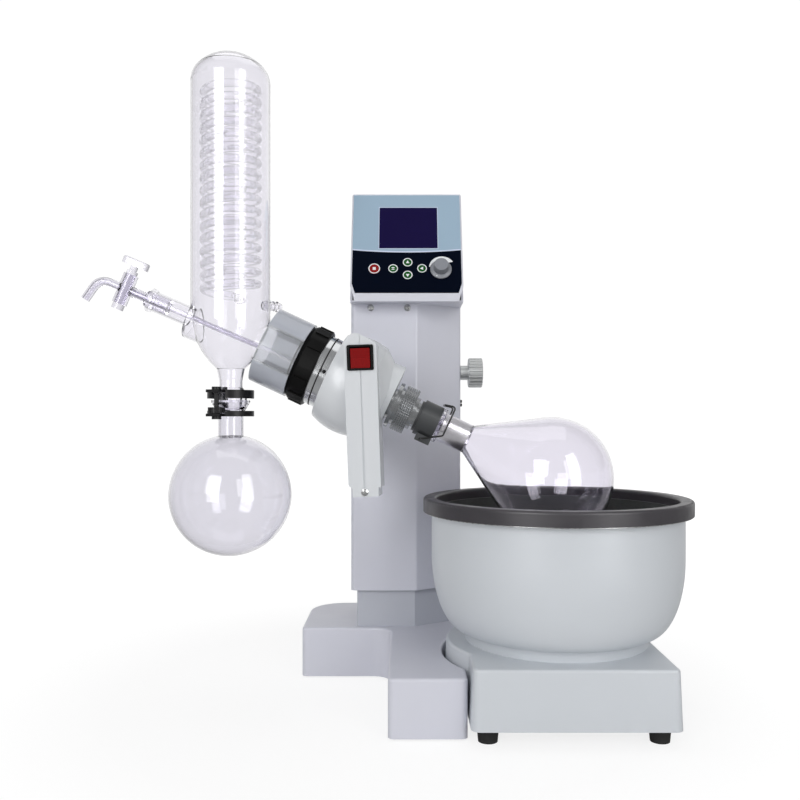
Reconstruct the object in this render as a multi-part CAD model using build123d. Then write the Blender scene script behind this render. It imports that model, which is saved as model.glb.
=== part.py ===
from build123d import *
import math
import os

# A rotary evaporator for about a litre: a stand whose column lifts the head, a worm-driven rotor that
# turns the evaporating flask, a double-coil glass condenser with its receiving flask, and a water bath.
# Millimetres, +Z up, +X towards the bath, +Y to the rear. The origin is at the middle of the footprint.

# Fits
RUN_CLEARANCE = 0.05
SLIDE_CLEARANCE = 0.3
SEAT_CLEARANCE = 0.1

# Stand base
BASE_LEFT = -100.6
BASE_RIGHT = 150.0
BASE_BACK = 187.0
ARM_FRONT = 49.0
LEG_LEFT = 6.0
LEG_RIGHT = 83.3
LEG_FRONT = -149.0
BASE_TOP = 60.0
BASE_WALL = 2.0
BASE_EDGE = 3.0
BASE_CORNER = 6.0
BASE_BACK_CORNER = 45.0
LEG_INNER_CORNER = 22.0
BATH_NOTCH_R = 123.0
BASE_PLATE_T = 2.0
PAD_R = 14.0
PAD_T = 2.0
PAD_INSET = 30.0

# Column: a five-sided sleeve that slides on an inner mast
COLUMN_LEFT = -42.0
COLUMN_RIGHT = 91.3
COLUMN_FRONT = 49.0
COLUMN_BACK = 159.0
FACET_X = 36.5
FACET_Y = 84.6
COLUMN_CORNER = 5.0
SLEEVE_BOTTOM = 104.5
SLEEVE_TOP = 447.0
SLEEVE_WALL = 2.5
TOP_PLATE_T = 4.0
MAST_GAP = 4.5
MAST_WALL = 3.0
MAST_TOP = 400.0
MAST_NOTCH_Z = 276.0
MAST_NOTCH_Y = 116.0
SLIDE_PAD_W = 24.0
SLIDE_PAD_H = 40.0
ACTUATOR_X = 25.0
ACTUATOR_Y = 132.0
ACTUATOR_R = 15.0
ACTUATOR_BORE_R = 10.0
ACTUATOR_TOP = 300.0
ACTUATOR_MOTOR_H = 62.0
ACTUATOR_MOTOR_W = 26.0
LIFT_ROD_BOTTOM = 165.0
COLUMN_SCREW_R = 4.0
COLUMN_SCREW_SHANK_R = 2.0
COLUMN_SCREW_H = 2.4
COLUMN_SCREW_Z = 442.5
COLUMN_SCREW_X = (-18.5, 25.5)

# Console on top of the column
CONSOLE_LIP_Y = 25.0
CONSOLE_LIP_H = 8.0
CONSOLE_TOP = 586.0
CONSOLE_TOP_Y = 78.0
CONSOLE_WALL = 2.5
CONSOLE_EDGE = 2.5
CONSOLE_CHAMFER_W = 4.0
CONSOLE_CHAMFER_H = 13.0
FASCIA_T = 2.0
FASCIA_MARGIN = 2.0
FASCIA_PROUD = 0.3
DISPLAY_W = 70.0
DISPLAY_H = 58.0
DISPLAY_X = 2.0
DISPLAY_Y = 21.4
DISPLAY_T = 1.6
BOARD_T = 1.6
BOARD_MARGIN = 8.0
KEY_PROUD = 0.9
KEY_LENGTH = 7.0
KEY_FLANGE_W = 1.0
KEY_FLANGE_T = 1.2
KEY_TRAVEL = 0.8
STOP_KEY_R = 6.9
GREEN_KEY_R = 5.8
STOP_KEY_AT = (-38.4, -36.2)
MODE_KEY_AT = (-16.1, -36.2)
UP_KEY_AT = (1.1, -27.6)
DOWN_KEY_AT = (1.1, -45.0)
SHIFT_KEY_AT = (18.1, -36.0)
KNOB_AT = (40.4, -37.5)
KNOB_SKIRT_R = 12.6
KNOB_SKIRT_T = 3.0
KNOB_CAP_R = 8.9
KNOB_TOP_R = 8.3
KNOB_H = 12.5
KNOB_STAND_OFF = 0.6
KNOB_SHAFT_R = 3.0
KNOB_FLUTES = 24
KNOB_FLUTE_R = 0.5

# Head: a clamshell housing round the rotor, tilted on a spindle that the column clamps
HEAD_X = -21.5
HEAD_Y = -47.0
HEAD_Z = 340.6
ROTOR_TILT = 25.0
POD_LEAN = 2.0
HEAD_WALL = 3.0
DOME_LEFT_U = -40.0
DOME_LEFT_R = 47.5
DOME_MAX_U = -12.0
DOME_MAX_R = 54.0
DOME_CONE_U = 5.0
DOME_END_U = 25.0
DOME_END_R = 35.5
NECK_START_U = 17.0
NECK_END_U = 31.0
NECK_R = 34.2
NECK_RISE = 7.4
POD_W = 32.8
POD_TOP = 60.0
POD_APEX_X = -8.0
POD_APEX_R = 10.0
POD_SHOULDER = 46.0
POD_FOOT_TOP = -100.0
POD_BOTTOM = -109.0
POD_FOOT_W = 26.4
POD_FOOT_X = 0.7
POD_FRONT_Y = -110.0
POD_DRAFT = 2.5
POD_CORNER = 5.0
PARTING_TOP_W = 0.3
PARTING_FOOT_W = 2.0
PARTING_DEPTH = 1.2
POD_BACK_GAP = 10.0
SPINDLE_BARREL_R = 34.0
SPINDLE_R = 8.0
SPINDLE_END_Y = 109.0
SPINDLE_RING_R = 11.0
SPINDLE_RING_T = 3.0
CLAMP_BLOCK_W = 24.0
CLAMP_BLOCK_END_Y = 105.0
CLAMP_BLOCK_DOWN = 14.0
CLAMP_BLOCK_CAP = 9.6
CLAMP_SLIT = 3.0
LOCK_Y = 95.0
LOCK_RISE = 26.4
LOCK_SCREW_R = 4.0
LOCK_BOSS_R = 9.0
LOCK_BOSS_L = 10.0
LOCK_KNOB_R = 18.4
LOCK_KNOB_L = 17.0
LOCK_KNOB_EDGE = 1.0
LOCK_FLUTES = 24
LOCK_FLUTE_R = 1.3
SWITCH_W = 26.8
SWITCH_H = 25.8
SWITCH_Z = 31.5
SWITCH_PROUD = 1.6
SWITCH_DEPTH = 12.0
ROCKER_W = 19.5
ROCKER_H = 20.0
ROCKER_GAP = 0.9
ROCKER_T = 7.0
ROCKER_RISE = 2.0
ROCKER_SWING = 14.0
HEAD_SCREW_R = 3.6
HEAD_SCREW_H = 1.8
HEAD_SCREW_Z = -104.5

# Rotor, on the tilted axis; U is measured along it from the tilt axis towards the flask
SHAFT_R = 17.0
SHAFT_BORE_R = 11.5
SHAFT_START_U = -48.0
SHAFT_END_U = 60.0
NOSE_R = 14.0
NOSE_END_U = 70.0
COLLAR_R = 25.5
COLLAR_START_U = 34.0
COLLAR_T = 4.0
GROOVE_R = 21.0
NUT_START_U = 41.5
NUT_L = 14.5
NUT_R = 25.0
NUT_KNURLS = 56
NUT_KNURL_R = 0.7
HUB_R = 18.0
BEARING_R = 23.5
BEARING_T = 12.0
BEARING_RIGHT_U = 17.0
BEARING_LEFT_U = -36.0
WHEEL_TEETH = 48
WORM_STARTS = 4
GEAR_MODULE = 1.5
WHEEL_T = 12.0
TOOTH_BACKLASH = 0.8
WORM_L = 20.0
MOTOR_R = 13.1
MOTOR_L = 67.0
MOTOR_TOP = -27.0
MOTOR_SHAFT_R = 2.5
FLANGE_R = 39.0
FLANGE_LEFT_U = -54.5
FLANGE_SPIGOT_R = 36.0
FLANGE_SPIGOT_END_U = -22.0
FLANGE_THREAD_R = 34.2
FLANGE_THREAD_U = -60.0
FLANGE_SET_SCREW_R = 2.2
SEAL_T = 6.0
SEAL_R = 18.0
UNION_LEFT_U = -76.0
UNION_LEFT_R = 40.0
UNION_R = 42.0
UNION_CHAMFER_L = 4.0
UNION_LIP_T = 10.8
UNION_BUMPS = 12
UNION_BUMP_W = 11.0
UNION_BUMP_H = 1.2
GUARD_LEFT_U = -117.0
GUARD_R = 42.0
GUARD_WALL = 3.0
GUARD_WEB_T = 3.0

# Flask clip and evaporating flask
CLIP_START_U = 63.0
CLIP_L = 24.0
CLIP_R = 19.5
CLIP_WALL = 3.0
CLIP_COLLAR_R = 17.0
CLIP_LUG_W = 12.0
CLIP_LUG_H = 5.0
CLIP_LUG_L = 16.0
BAIL_R = 0.9
BAIL_HALF_W = 22.5
BAIL_U = 96.6
BAIL_KNEE_Y = 8.3
BAIL_CORNER_Y = -24.8
BAIL_HOOK_U = 85.5
BAIL_PIVOT_R = 22.0
BAIL_PIVOT_U = 75.0
VAPOUR_TUBE_R = 11.3
VAPOUR_BORE_R = 8.6
VAPOUR_START_U = -66.0
CONE_START_U = 90.0
CONE_END_U = 118.0
CONE_START_R = 13.4
CONE_END_R = 12.2
NECK_BEAD_R = 19.0
NECK_BEAD_T = 4.0
FLASK_NECK_R = 15.8
FLASK_NECK_END_U = 124.0
FLASK_U = 223.7
FLASK_R = 66.0
GLASS_WALL = 2.2

# Condenser, vertical beside the head
CONDENSER_X = -166.0
CONDENSER_R = 42.5
CONDENSER_TOP = 704.5
CONDENSER_DOME_H = 32.0
CONDENSER_KNUCKLE_R = 24.0
CONDENSER_SHOULDER_Z = 414.0
CONDENSER_BELLY_R = 33.0
CONDENSER_BELLY_Z = 387.0
CONDENSER_THROAT_R = 15.0
CONDENSER_THROAT_Z = 364.0
CONDENSER_NECK_R = 12.5
BALL_R = 17.5
BALL_Z = 332.0
BALL_END_Z = 320.0
SIDE_TUBE_R = 21.0
SIDE_FLANGE_R = 32.0
SIDE_FLANGE_T = 5.0
FEED_TILT = 23.0
ARM_MOUTH_D = 251.6
ARM_R = 11.0
ARM_BEAD_R = 13.0
ARM_BEAD_L = 4.0
ARM_FLARE_R = 23.0
ARM_FLARE_D = 46.0
OUTER_COIL_R = 29.0
OUTER_COIL_TUBE = 8.5
OUTER_COIL_SPACING = 13.1
OUTER_COIL_BOTTOM = 446.0
COIL_HEADROOM = 35.8
INNER_COIL_R = 13.5
INNER_COIL_TUBE = 7.0
INNER_COIL_SPACING = 10.5
COIL_CHORDS = 14
COIL_SIDES = 6
COIL_WALL_GAP = 0.3
NIPPLE_R = 5.0
NIPPLE_BORE_R = 2.6
NIPPLE_L = 20.0
NIPPLE_RIBS = 3
NIPPLE_RIB_H = 0.9
NIPPLE_RIB_L = 5.0
VACUUM_NIPPLE_Z = 436.0
VACUUM_NIPPLE_TURN = 40.0

# Stopcock in the condenser's left arm
STOPCOCK_OUT = 29.4
STOPCOCK_R = 8.0
STOPCOCK_L = 34.0
KEY_PLUG_R = 5.0
KEY_CAP_R = 6.0
KEY_STEM_R = 4.0
KEY_STEM_H = 11.0
KEY_HANDLE_L = 30.0
KEY_HANDLE_W = 11.0
KEY_HANDLE_T = 8.0
KEY_NUT_R = 6.5
KEY_NUT_H = 6.0
SPOUT_R = 4.8
SPOUT_BORE_R = 2.6
SPOUT_RUN = 30.0
SPOUT_BEND_R = 14.0
SPOUT_DROP = 16.0
SPOUT_TURN = 78.0
FEED_R = 3.0
FEED_BORE_R = 2.0
FEED_END_U = 108.0

# Receiving flask and the clamp on its ball joint
RECEIVER_Z = 227.7
RECEIVER_R = 65.5
RECEIVER_NECK_R = 13.5
CUP_R = 20.8
CUP_RIM_Z = 330.0
CUP_H = 14.0
FORK_T = 3.0
FORK_R = 25.0
FORK_SKIRT_H = 6.0
FORK_TAIL = 36.0
FORK_TAIL_W = 16.0
UPPER_FORK_Z = 338.0
CLAMP_TURN = 20.0
CLAMP_PIN_R = 2.5
CLAMP_WHEEL_R = 9.0
CLAMP_WHEEL_T = 6.0
CLAMP_WHEEL_FLUTES = 16

# Water bath
BATH_X = 185.5
BATH_Y = -47.0
BATH_BASE_R = 118.0
BATH_BASE_HALF_W = 98.0
BATH_BASE_FRONT = 120.0
BATH_BASE_BACK = 112.0
BATH_BASE_BOTTOM = 16.0
BATH_BASE_TOP = 74.0
BATH_BASE_DRAFT = 2.5
BATH_BASE_CORNER = 6.0
BATH_BASE_EDGE = 3.0
BATH_BASE_WALL = 2.0
FOOT_R = 11.0
FOOT_BOTTOM_R = 9.5
FOOT_AT = ((-83.0, -100.0), (83.0, -100.0), (-66.0, 72.0), (66.0, 72.0))
BOWL_R = 134.0
BOWL_TOP = 213.0
BOWL_STRAIGHT_Z = 165.0
BOWL_CURVE_W = 33.0
BOWL_CURVE_H = 79.6
BOWL_FOOT_R = 98.0
BOWL_WALL = 2.0
POT_GAP = 4.0
POT_WALL = 1.5
POT_FLANGE_R = 140.0
HEATER_SPACE = 12.0
HEATER_R = 74.0
HEATER_TUBE_R = 4.5
RIM_INNER_R = 129.0
RIM_R = 143.0
RIM_TOP = 225.5
RIM_SKIRT_H = 4.0
RIM_EDGE = 3.0

# Mains inlets on the rear of the stand and of the bath
INLET_W = 50.0
INLET_H = 28.0
INLET_T = 3.0
INLET_BODY_W = 30.0
INLET_BODY_H = 22.0
INLET_DEPTH = 22.0
INLET_SOCKET_DEPTH = 16.0
STAND_INLET_X = -30.0

TILT = math.radians(ROTOR_TILT)
PIVOT = (HEAD_X, HEAD_Y, HEAD_Z)
ROTOR = Plane(PIVOT, x_dir=(0, -1, 0), z_dir=(math.cos(TILT), 0, -math.sin(TILT)))
LEAN = math.radians(POD_LEAN)
POD = Plane(PIVOT, x_dir=(math.cos(LEAN), 0, math.sin(LEAN)), z_dir=(-math.sin(LEAN), 0, math.cos(LEAN)))
FEED = math.radians(FEED_TILT)
ARM = Plane(PIVOT, x_dir=(0, -1, 0), z_dir=(-math.cos(FEED), 0, math.sin(FEED)))
COLUMN_MID_X = (COLUMN_LEFT + COLUMN_RIGHT) / 2
COLUMN_W = COLUMN_RIGHT - COLUMN_LEFT
LIP_TOP = SLEEVE_TOP + CONSOLE_LIP_H
SLOPE = math.atan2(CONSOLE_TOP_Y - CONSOLE_LIP_Y, CONSOLE_TOP - LIP_TOP)
SLOPE_H = (CONSOLE_TOP - LIP_TOP) / math.cos(SLOPE)
FACE = Plane(
    (COLUMN_MID_X, (CONSOLE_LIP_Y + CONSOLE_TOP_Y) / 2, (LIP_TOP + CONSOLE_TOP) / 2),
    x_dir=(1, 0, 0),
    z_dir=(0, -math.cos(SLOPE), math.sin(SLOPE)),
)


def lathe(*points):
    """A solid of revolution about Z, from its outline in radius and height."""
    return revolve(Plane.XZ * make_face(Polyline(*points, close=True)), Axis.Z)


def rod(radius, start, end):
    """A round bar along Z."""
    return Pos(0, 0, start) * Cylinder(radius, end - start, align=(Align.CENTER, Align.CENTER, Align.MIN))


def tube(radius, bore, start, end):
    """A round tube along Z."""
    return rod(radius, start, end) - rod(bore, start, end)


def block(width, depth, low, high):
    """A box about the Z axis, from one height to another."""
    return Pos(0, 0, low) * Box(width, depth, high - low, align=(Align.CENTER, Align.CENTER, Align.MIN))


def corner(face, x, y):
    """The corner of a flat face nearest to a point."""
    return min(face.vertices(), key=lambda vertex: math.hypot(vertex.X - x, vertex.Y - y))


def ring_of(count, shape):
    """Copies of a shape, evenly spaced about Z."""
    return [Rot(0, 0, 360 * index / count) * shape for index in range(count)]


def write(name, *solids):
    """One node's file."""
    pieces = [solid for part in solids for solid in part.solids()]
    export_step(pieces[0] if len(pieces) == 1 else Compound(children=pieces), f"parts/{name}.step")


def base_outline(inset):
    """Plan of the stand's foot: a rear bar, a front leg and a round notch that the bath nests in."""
    outline = make_face(Polyline(
        (LEG_LEFT, LEG_FRONT), (LEG_RIGHT, LEG_FRONT), (LEG_RIGHT, BATH_Y), (BASE_RIGHT, BATH_Y),
        (BASE_RIGHT, BASE_BACK), (BASE_LEFT, BASE_BACK), (BASE_LEFT, ARM_FRONT), (LEG_LEFT, ARM_FRONT),
        close=True,
    ))
    outline -= Pos(BATH_X, BATH_Y) * Circle(BATH_NOTCH_R)
    for x in (BASE_LEFT, BASE_RIGHT):
        outline = fillet(corner(outline, x, BASE_BACK), BASE_BACK_CORNER)
    outline = fillet(corner(outline, LEG_LEFT, ARM_FRONT), LEG_INNER_CORNER)
    for x, y in ((LEG_LEFT, LEG_FRONT), (LEG_RIGHT, LEG_FRONT), (BASE_LEFT, ARM_FRONT)):
        outline = fillet(corner(outline, x, y), BASE_CORNER)
    return offset(outline, -inset) if inset else outline


def inlet(place):
    """A mains inlet: a face plate, a body behind it and a socket with three blades."""
    socket_w = INLET_BODY_W - 2 * INLET_T
    socket_h = INLET_BODY_H - 2 * INLET_T
    plate = extrude(RectangleRounded(INLET_W, INLET_H, INLET_T), INLET_T)
    body = block(INLET_BODY_W, INLET_BODY_H, -INLET_DEPTH, 0)
    socket = block(socket_w, socket_h, INLET_T - INLET_SOCKET_DEPTH, INLET_T)
    solid = plate + body - socket
    for x, y in ((-socket_w / 4, -socket_h / 6), (socket_w / 4, -socket_h / 6), (0, socket_h / 5)):
        solid += Pos(x, y) * block(INLET_T / 2, INLET_T, INLET_T - INLET_SOCKET_DEPTH, 0)
    return place * solid


def inlet_hole(place):
    """The cut-out that an inlet's body passes through."""
    room = 2 * SEAT_CLEARANCE
    return place * block(INLET_BODY_W + room, INLET_BODY_H + room, -INLET_DEPTH, INLET_T)


STAND_INLET = Plane((STAND_INLET_X, BASE_BACK, (PAD_T + BASE_TOP) / 2), x_dir=(-1, 0, 0), z_dir=(0, 1, 0))


def base_shell():
    body = Pos(0, 0, PAD_T) * extrude(base_outline(0), BASE_TOP - PAD_T)
    body = fillet(body.edges().group_by(Axis.Z)[-1], BASE_EDGE)
    body -= Pos(0, 0, PAD_T) * extrude(base_outline(BASE_WALL), BASE_TOP - PAD_T - BASE_WALL)
    return body - inlet_hole(STAND_INLET)


def base_bottom_plate():
    return Pos(0, 0, PAD_T) * extrude(base_outline(BASE_WALL + SEAT_CLEARANCE), BASE_PLATE_T)


def base_pads():
    places = (
        (LEG_LEFT + PAD_INSET, LEG_FRONT + PAD_INSET),
        (LEG_LEFT + PAD_INSET, ARM_FRONT),
        (BASE_LEFT + PAD_INSET, ARM_FRONT + PAD_INSET),
        (BASE_LEFT + PAD_INSET, BASE_BACK - PAD_INSET),
        (BASE_RIGHT - PAD_INSET, BASE_BACK - PAD_INSET),
    )
    return [Pos(x, y) * rod(PAD_R, 0, PAD_T) for x, y in places]


def column_outline(inset):
    """Plan of the column, with its slanted right front face."""
    outline = make_face(Polyline(
        (COLUMN_LEFT, COLUMN_FRONT), (FACET_X, COLUMN_FRONT), (COLUMN_RIGHT, FACET_Y),
        (COLUMN_RIGHT, COLUMN_BACK), (COLUMN_LEFT, COLUMN_BACK), close=True,
    ))
    if inset:
        outline = offset(outline, -inset, kind=Kind.INTERSECTION)
    return fillet(outline.vertices(), max(COLUMN_CORNER - inset, SLEEVE_WALL / 2))


def column_part(inset, low, high):
    return Pos(0, 0, low) * extrude(column_outline(inset), high - low)


MAST_INSET = SLEEVE_WALL + MAST_GAP


def mast():
    """A full box section at the foot; higher up only its rear half, to leave room for the tilt clamp."""
    body = column_part(MAST_INSET, BASE_TOP, MAST_TOP)
    body -= column_part(MAST_INSET + MAST_WALL, BASE_TOP, MAST_TOP)
    room = Box(COLUMN_W, COLUMN_BACK, MAST_TOP, align=(Align.CENTER, Align.MAX, Align.MIN))
    return body - Pos(COLUMN_MID_X, MAST_NOTCH_Y, MAST_NOTCH_Z) * room


def slide_pads():
    """Plastic strips on the mast that the sleeve runs on."""
    thick = MAST_GAP - SLIDE_CLEARANCE
    low = MAST_NOTCH_Z - SLIDE_PAD_H - MAST_GAP
    high = MAST_TOP - SLIDE_PAD_H - MAST_GAP
    side_y = (FACET_Y + COLUMN_BACK) / 2
    front_x = (COLUMN_LEFT + FACET_X) / 2
    front_y = COLUMN_FRONT + MAST_INSET - thick / 2
    pads = [Pos(front_x, front_y) * block(SLIDE_PAD_W, thick, low, low + SLIDE_PAD_H)]
    for x, inward in ((COLUMN_LEFT, 1), (COLUMN_RIGHT, -1)):
        centre = x + inward * (MAST_INSET - thick / 2)
        pads.append(Pos(centre, side_y) * block(thick, SLIDE_PAD_W, low, low + SLIDE_PAD_H))
    for z in (low, high):
        centre = COLUMN_BACK - MAST_INSET + thick / 2
        pads.append(Pos(COLUMN_MID_X, centre) * block(SLIDE_PAD_W, thick, z, z + SLIDE_PAD_H))
    return pads


ACTUATOR = Pos(ACTUATOR_X, ACTUATOR_Y)
ACTUATOR_MOTOR_TOP = BASE_TOP + ACTUATOR_MOTOR_H


def lift_actuator():
    """A motor block on the base and the tube that guides the lifting rod."""
    floor = ACTUATOR_MOTOR_TOP + MAST_WALL
    body = block(ACTUATOR_MOTOR_W, ACTUATOR_MOTOR_W, BASE_TOP, ACTUATOR_MOTOR_TOP)
    body += rod(ACTUATOR_R, ACTUATOR_MOTOR_TOP, ACTUATOR_TOP)
    return ACTUATOR * (body - rod(ACTUATOR_BORE_R, floor, ACTUATOR_TOP))


def lift_rod():
    return ACTUATOR * rod(ACTUATOR_BORE_R - RUN_CLEARANCE, LIFT_ROD_BOTTOM, SLEEVE_TOP - TOP_PLATE_T)


SPINDLE = Plane(PIVOT, x_dir=(1, 0, 0), z_dir=(0, 1, 0))
LOCK = Plane((HEAD_X, LOCK_Y, HEAD_Z + LOCK_RISE), x_dir=(0, 1, 0), z_dir=(1, 0, 0))
CLAMP_BLOCK_UP = LOCK_RISE + CLAMP_BLOCK_CAP
LOCK_REACH = COLUMN_RIGHT - HEAD_X
SPINDLE_WALL = COLUMN_FRONT - HEAD_Y


def column_sleeve():
    body = column_part(0, SLEEVE_BOTTOM, SLEEVE_TOP) - column_part(SLEEVE_WALL, SLEEVE_BOTTOM, SLEEVE_TOP)
    body -= SPINDLE * rod(SPINDLE_R + SLIDE_CLEARANCE, 0, SPINDLE_WALL + COLUMN_CORNER)
    lock_r = LOCK_SCREW_R + SLIDE_CLEARANCE
    body -= LOCK * rod(lock_r, LOCK_REACH - COLUMN_CORNER, LOCK_REACH + COLUMN_CORNER)
    for x in COLUMN_SCREW_X:
        body -= column_screw_place(x) * rod(COLUMN_SCREW_SHANK_R + SEAT_CLEARANCE, -SLEEVE_WALL, 0)
    return body


def sleeve_top_plate():
    plate = column_part(SLEEVE_WALL + SEAT_CLEARANCE, SLEEVE_TOP - TOP_PLATE_T, SLEEVE_TOP)
    lug_top = SLEEVE_TOP - TOP_PLATE_T
    lug_low = COLUMN_SCREW_Z - 2 * COLUMN_SCREW_R
    front = COLUMN_FRONT + SLEEVE_WALL + SEAT_CLEARANCE
    for x in COLUMN_SCREW_X:
        plate += Pos(x, front + TOP_PLATE_T / 2) * block(3 * COLUMN_SCREW_R, TOP_PLATE_T, lug_low, lug_top)
        plate -= column_screw_place(x) * rod(COLUMN_SCREW_SHANK_R + SEAT_CLEARANCE, -3 * TOP_PLATE_T, 0)
    return plate


def column_screw_place(x):
    return Plane((x, COLUMN_FRONT, COLUMN_SCREW_Z), x_dir=(1, 0, 0), z_dir=(0, -1, 0))


def column_screws():
    """Pan-head screws that hold the top plate's lugs to the sleeve."""
    head = lathe((0, 0), (COLUMN_SCREW_R, 0), (COLUMN_SCREW_R, COLUMN_SCREW_H / 2),
                 (COLUMN_SCREW_R / 2, COLUMN_SCREW_H), (0, COLUMN_SCREW_H))
    head -= block(COLUMN_SCREW_R, COLUMN_SCREW_H / 4, COLUMN_SCREW_H / 2, COLUMN_SCREW_H)
    head -= block(COLUMN_SCREW_H / 4, COLUMN_SCREW_R, COLUMN_SCREW_H / 2, COLUMN_SCREW_H)
    screw = head + rod(COLUMN_SCREW_SHANK_R, -2 * TOP_PLATE_T, 0)
    return [column_screw_place(x) * screw for x in COLUMN_SCREW_X]


def console_section(inset):
    """Side view of the console: a short upright lip, a sloping face, a flat top and back."""
    outline = make_face(Polyline(
        (CONSOLE_LIP_Y, SLEEVE_TOP), (CONSOLE_LIP_Y, LIP_TOP), (CONSOLE_TOP_Y, CONSOLE_TOP),
        (COLUMN_BACK, CONSOLE_TOP), (COLUMN_BACK, SLEEVE_TOP), close=True,
    ))
    if inset:
        outline = offset(outline, -inset, kind=Kind.INTERSECTION)
    return Pos(COLUMN_LEFT + inset, 0, 0) * extrude(Plane.YZ * outline, COLUMN_W - 2 * inset)


def fascia_outline(margin):
    """The sloping panel, with its lower corners cut off."""
    half_w = COLUMN_W / 2 - margin
    half_h = SLOPE_H / 2 - margin
    return make_face(Polyline(
        (-half_w, half_h), (half_w, half_h), (half_w, CONSOLE_CHAMFER_H - half_h),
        (half_w - CONSOLE_CHAMFER_W, -half_h), (CONSOLE_CHAMFER_W - half_w, -half_h),
        (-half_w, CONSOLE_CHAMFER_H - half_h), close=True,
    ))


def console_housing():
    body = console_section(0)
    upper = [edge for edge in body.edges() if edge.center().Z > SLEEVE_TOP + CONSOLE_EDGE / 2]
    body = fillet(upper, CONSOLE_EDGE)
    body -= console_section(CONSOLE_WALL)
    recess = FASCIA_T - FASCIA_PROUD
    body -= FACE * Pos(0, 0, -recess) * extrude(fascia_outline(FASCIA_MARGIN - SEAT_CLEARANCE), 2 * recess)
    opening = extrude(fascia_outline(3 * FASCIA_MARGIN), 3 * CONSOLE_WALL)
    body -= FACE * Pos(0, 0, -2 * CONSOLE_WALL) * opening
    for side in (-1, 1):
        low = -SLOPE_H / 2 - 2 * CONSOLE_LIP_H
        edge = COLUMN_W / 2 + CONSOLE_WALL
        wedge = make_face(Polyline(
            (edge - CONSOLE_WALL, CONSOLE_CHAMFER_H - SLOPE_H / 2), (edge, CONSOLE_CHAMFER_H - SLOPE_H / 2),
            (edge, low), (edge - CONSOLE_WALL - 2 * CONSOLE_CHAMFER_W, low), close=True,
        ))
        cut = extrude(wedge, 4 * CONSOLE_WALL, both=True)
        body -= FACE * (cut if side > 0 else mirror(cut, Plane.YZ))
    return body


KEYS = {
    "stop_key": (STOP_KEY_AT, STOP_KEY_R),
    "mode_key": (MODE_KEY_AT, GREEN_KEY_R),
    "up_key": (UP_KEY_AT, GREEN_KEY_R),
    "down_key": (DOWN_KEY_AT, GREEN_KEY_R),
    "shift_key": (SHIFT_KEY_AT, GREEN_KEY_R),
}
FASCIA_BACK = FASCIA_PROUD - FASCIA_T
BOARD_TOP = -KEY_LENGTH - KEY_TRAVEL - SLIDE_CLEARANCE
KNOB_BASE = FASCIA_PROUD + KNOB_STAND_OFF


def console_fascia():
    panel = Pos(0, 0, FASCIA_BACK) * extrude(fascia_outline(FASCIA_MARGIN), FASCIA_T)
    panel -= Pos(DISPLAY_X, DISPLAY_Y) * block(DISPLAY_W, DISPLAY_H, FASCIA_BACK, FASCIA_PROUD)
    for place, radius in KEYS.values():
        panel -= Pos(*place) * rod(radius, FASCIA_BACK, FASCIA_PROUD)
    panel -= Pos(*KNOB_AT) * rod(KNOB_SHAFT_R + SLIDE_CLEARANCE, FASCIA_BACK, FASCIA_PROUD)
    return FACE * panel


def display_window():
    room = 2 * SEAT_CLEARANCE
    top = FASCIA_PROUD - SEAT_CLEARANCE
    glass = block(DISPLAY_W - room, DISPLAY_H - room, FASCIA_PROUD - DISPLAY_T, top)
    return FACE * Pos(DISPLAY_X, DISPLAY_Y) * glass


def console_circuit_board():
    """The board behind the panel, on four posts, with the body of the speed control."""
    width = COLUMN_W - 2 * BOARD_MARGIN
    height = SLOPE_H - 3 * BOARD_MARGIN
    board = block(width, height, BOARD_TOP - BOARD_T, BOARD_TOP)
    for x in (BOARD_MARGIN - width / 2, width / 2 - BOARD_MARGIN):
        for y in (BOARD_MARGIN - height / 2, height / 2 - BOARD_MARGIN):
            board += Pos(x, y) * rod(BOARD_MARGIN / 3, BOARD_TOP, FASCIA_BACK)
    control = tube(2 * KNOB_SHAFT_R, KNOB_SHAFT_R + RUN_CLEARANCE, BOARD_TOP, FASCIA_BACK)
    return FACE * (board + Pos(*KNOB_AT) * control)


def panel_key(place, radius):
    """A low round key with a flange that keeps it behind the panel."""
    stem = radius - RUN_CLEARANCE
    crown = FASCIA_PROUD + KEY_PROUD
    flange_top = FASCIA_BACK - RUN_CLEARANCE
    key = lathe((0, -KEY_LENGTH), (stem / 2, -KEY_LENGTH), (stem / 2, flange_top - KEY_FLANGE_T),
                (stem + KEY_FLANGE_W, flange_top - KEY_FLANGE_T), (stem + KEY_FLANGE_W, flange_top),
                (stem, flange_top), (stem, crown - KEY_PROUD / 2), (stem - KEY_PROUD, crown), (0, crown))
    return FACE * Pos(*place) * key


def speed_knob():
    top = KNOB_BASE + KNOB_H
    skirt_top = KNOB_BASE + KNOB_SKIRT_T
    knob = lathe((0, KNOB_BASE), (KNOB_SKIRT_R, KNOB_BASE), (KNOB_SKIRT_R, KNOB_BASE + KNOB_SKIRT_T / 2),
                 (KNOB_CAP_R, skirt_top), (KNOB_TOP_R, top - KNOB_FLUTE_R),
                 (KNOB_TOP_R - KNOB_FLUTE_R, top), (0, top))
    flute = Pos(KNOB_CAP_R, 0) * rod(KNOB_FLUTE_R, skirt_top, top)
    knob -= ring_of(KNOB_FLUTES, flute)
    knob += rod(KNOB_SHAFT_R, BOARD_TOP + KEY_TRAVEL, KNOB_BASE)
    return FACE * Pos(*KNOB_AT) * knob


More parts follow.
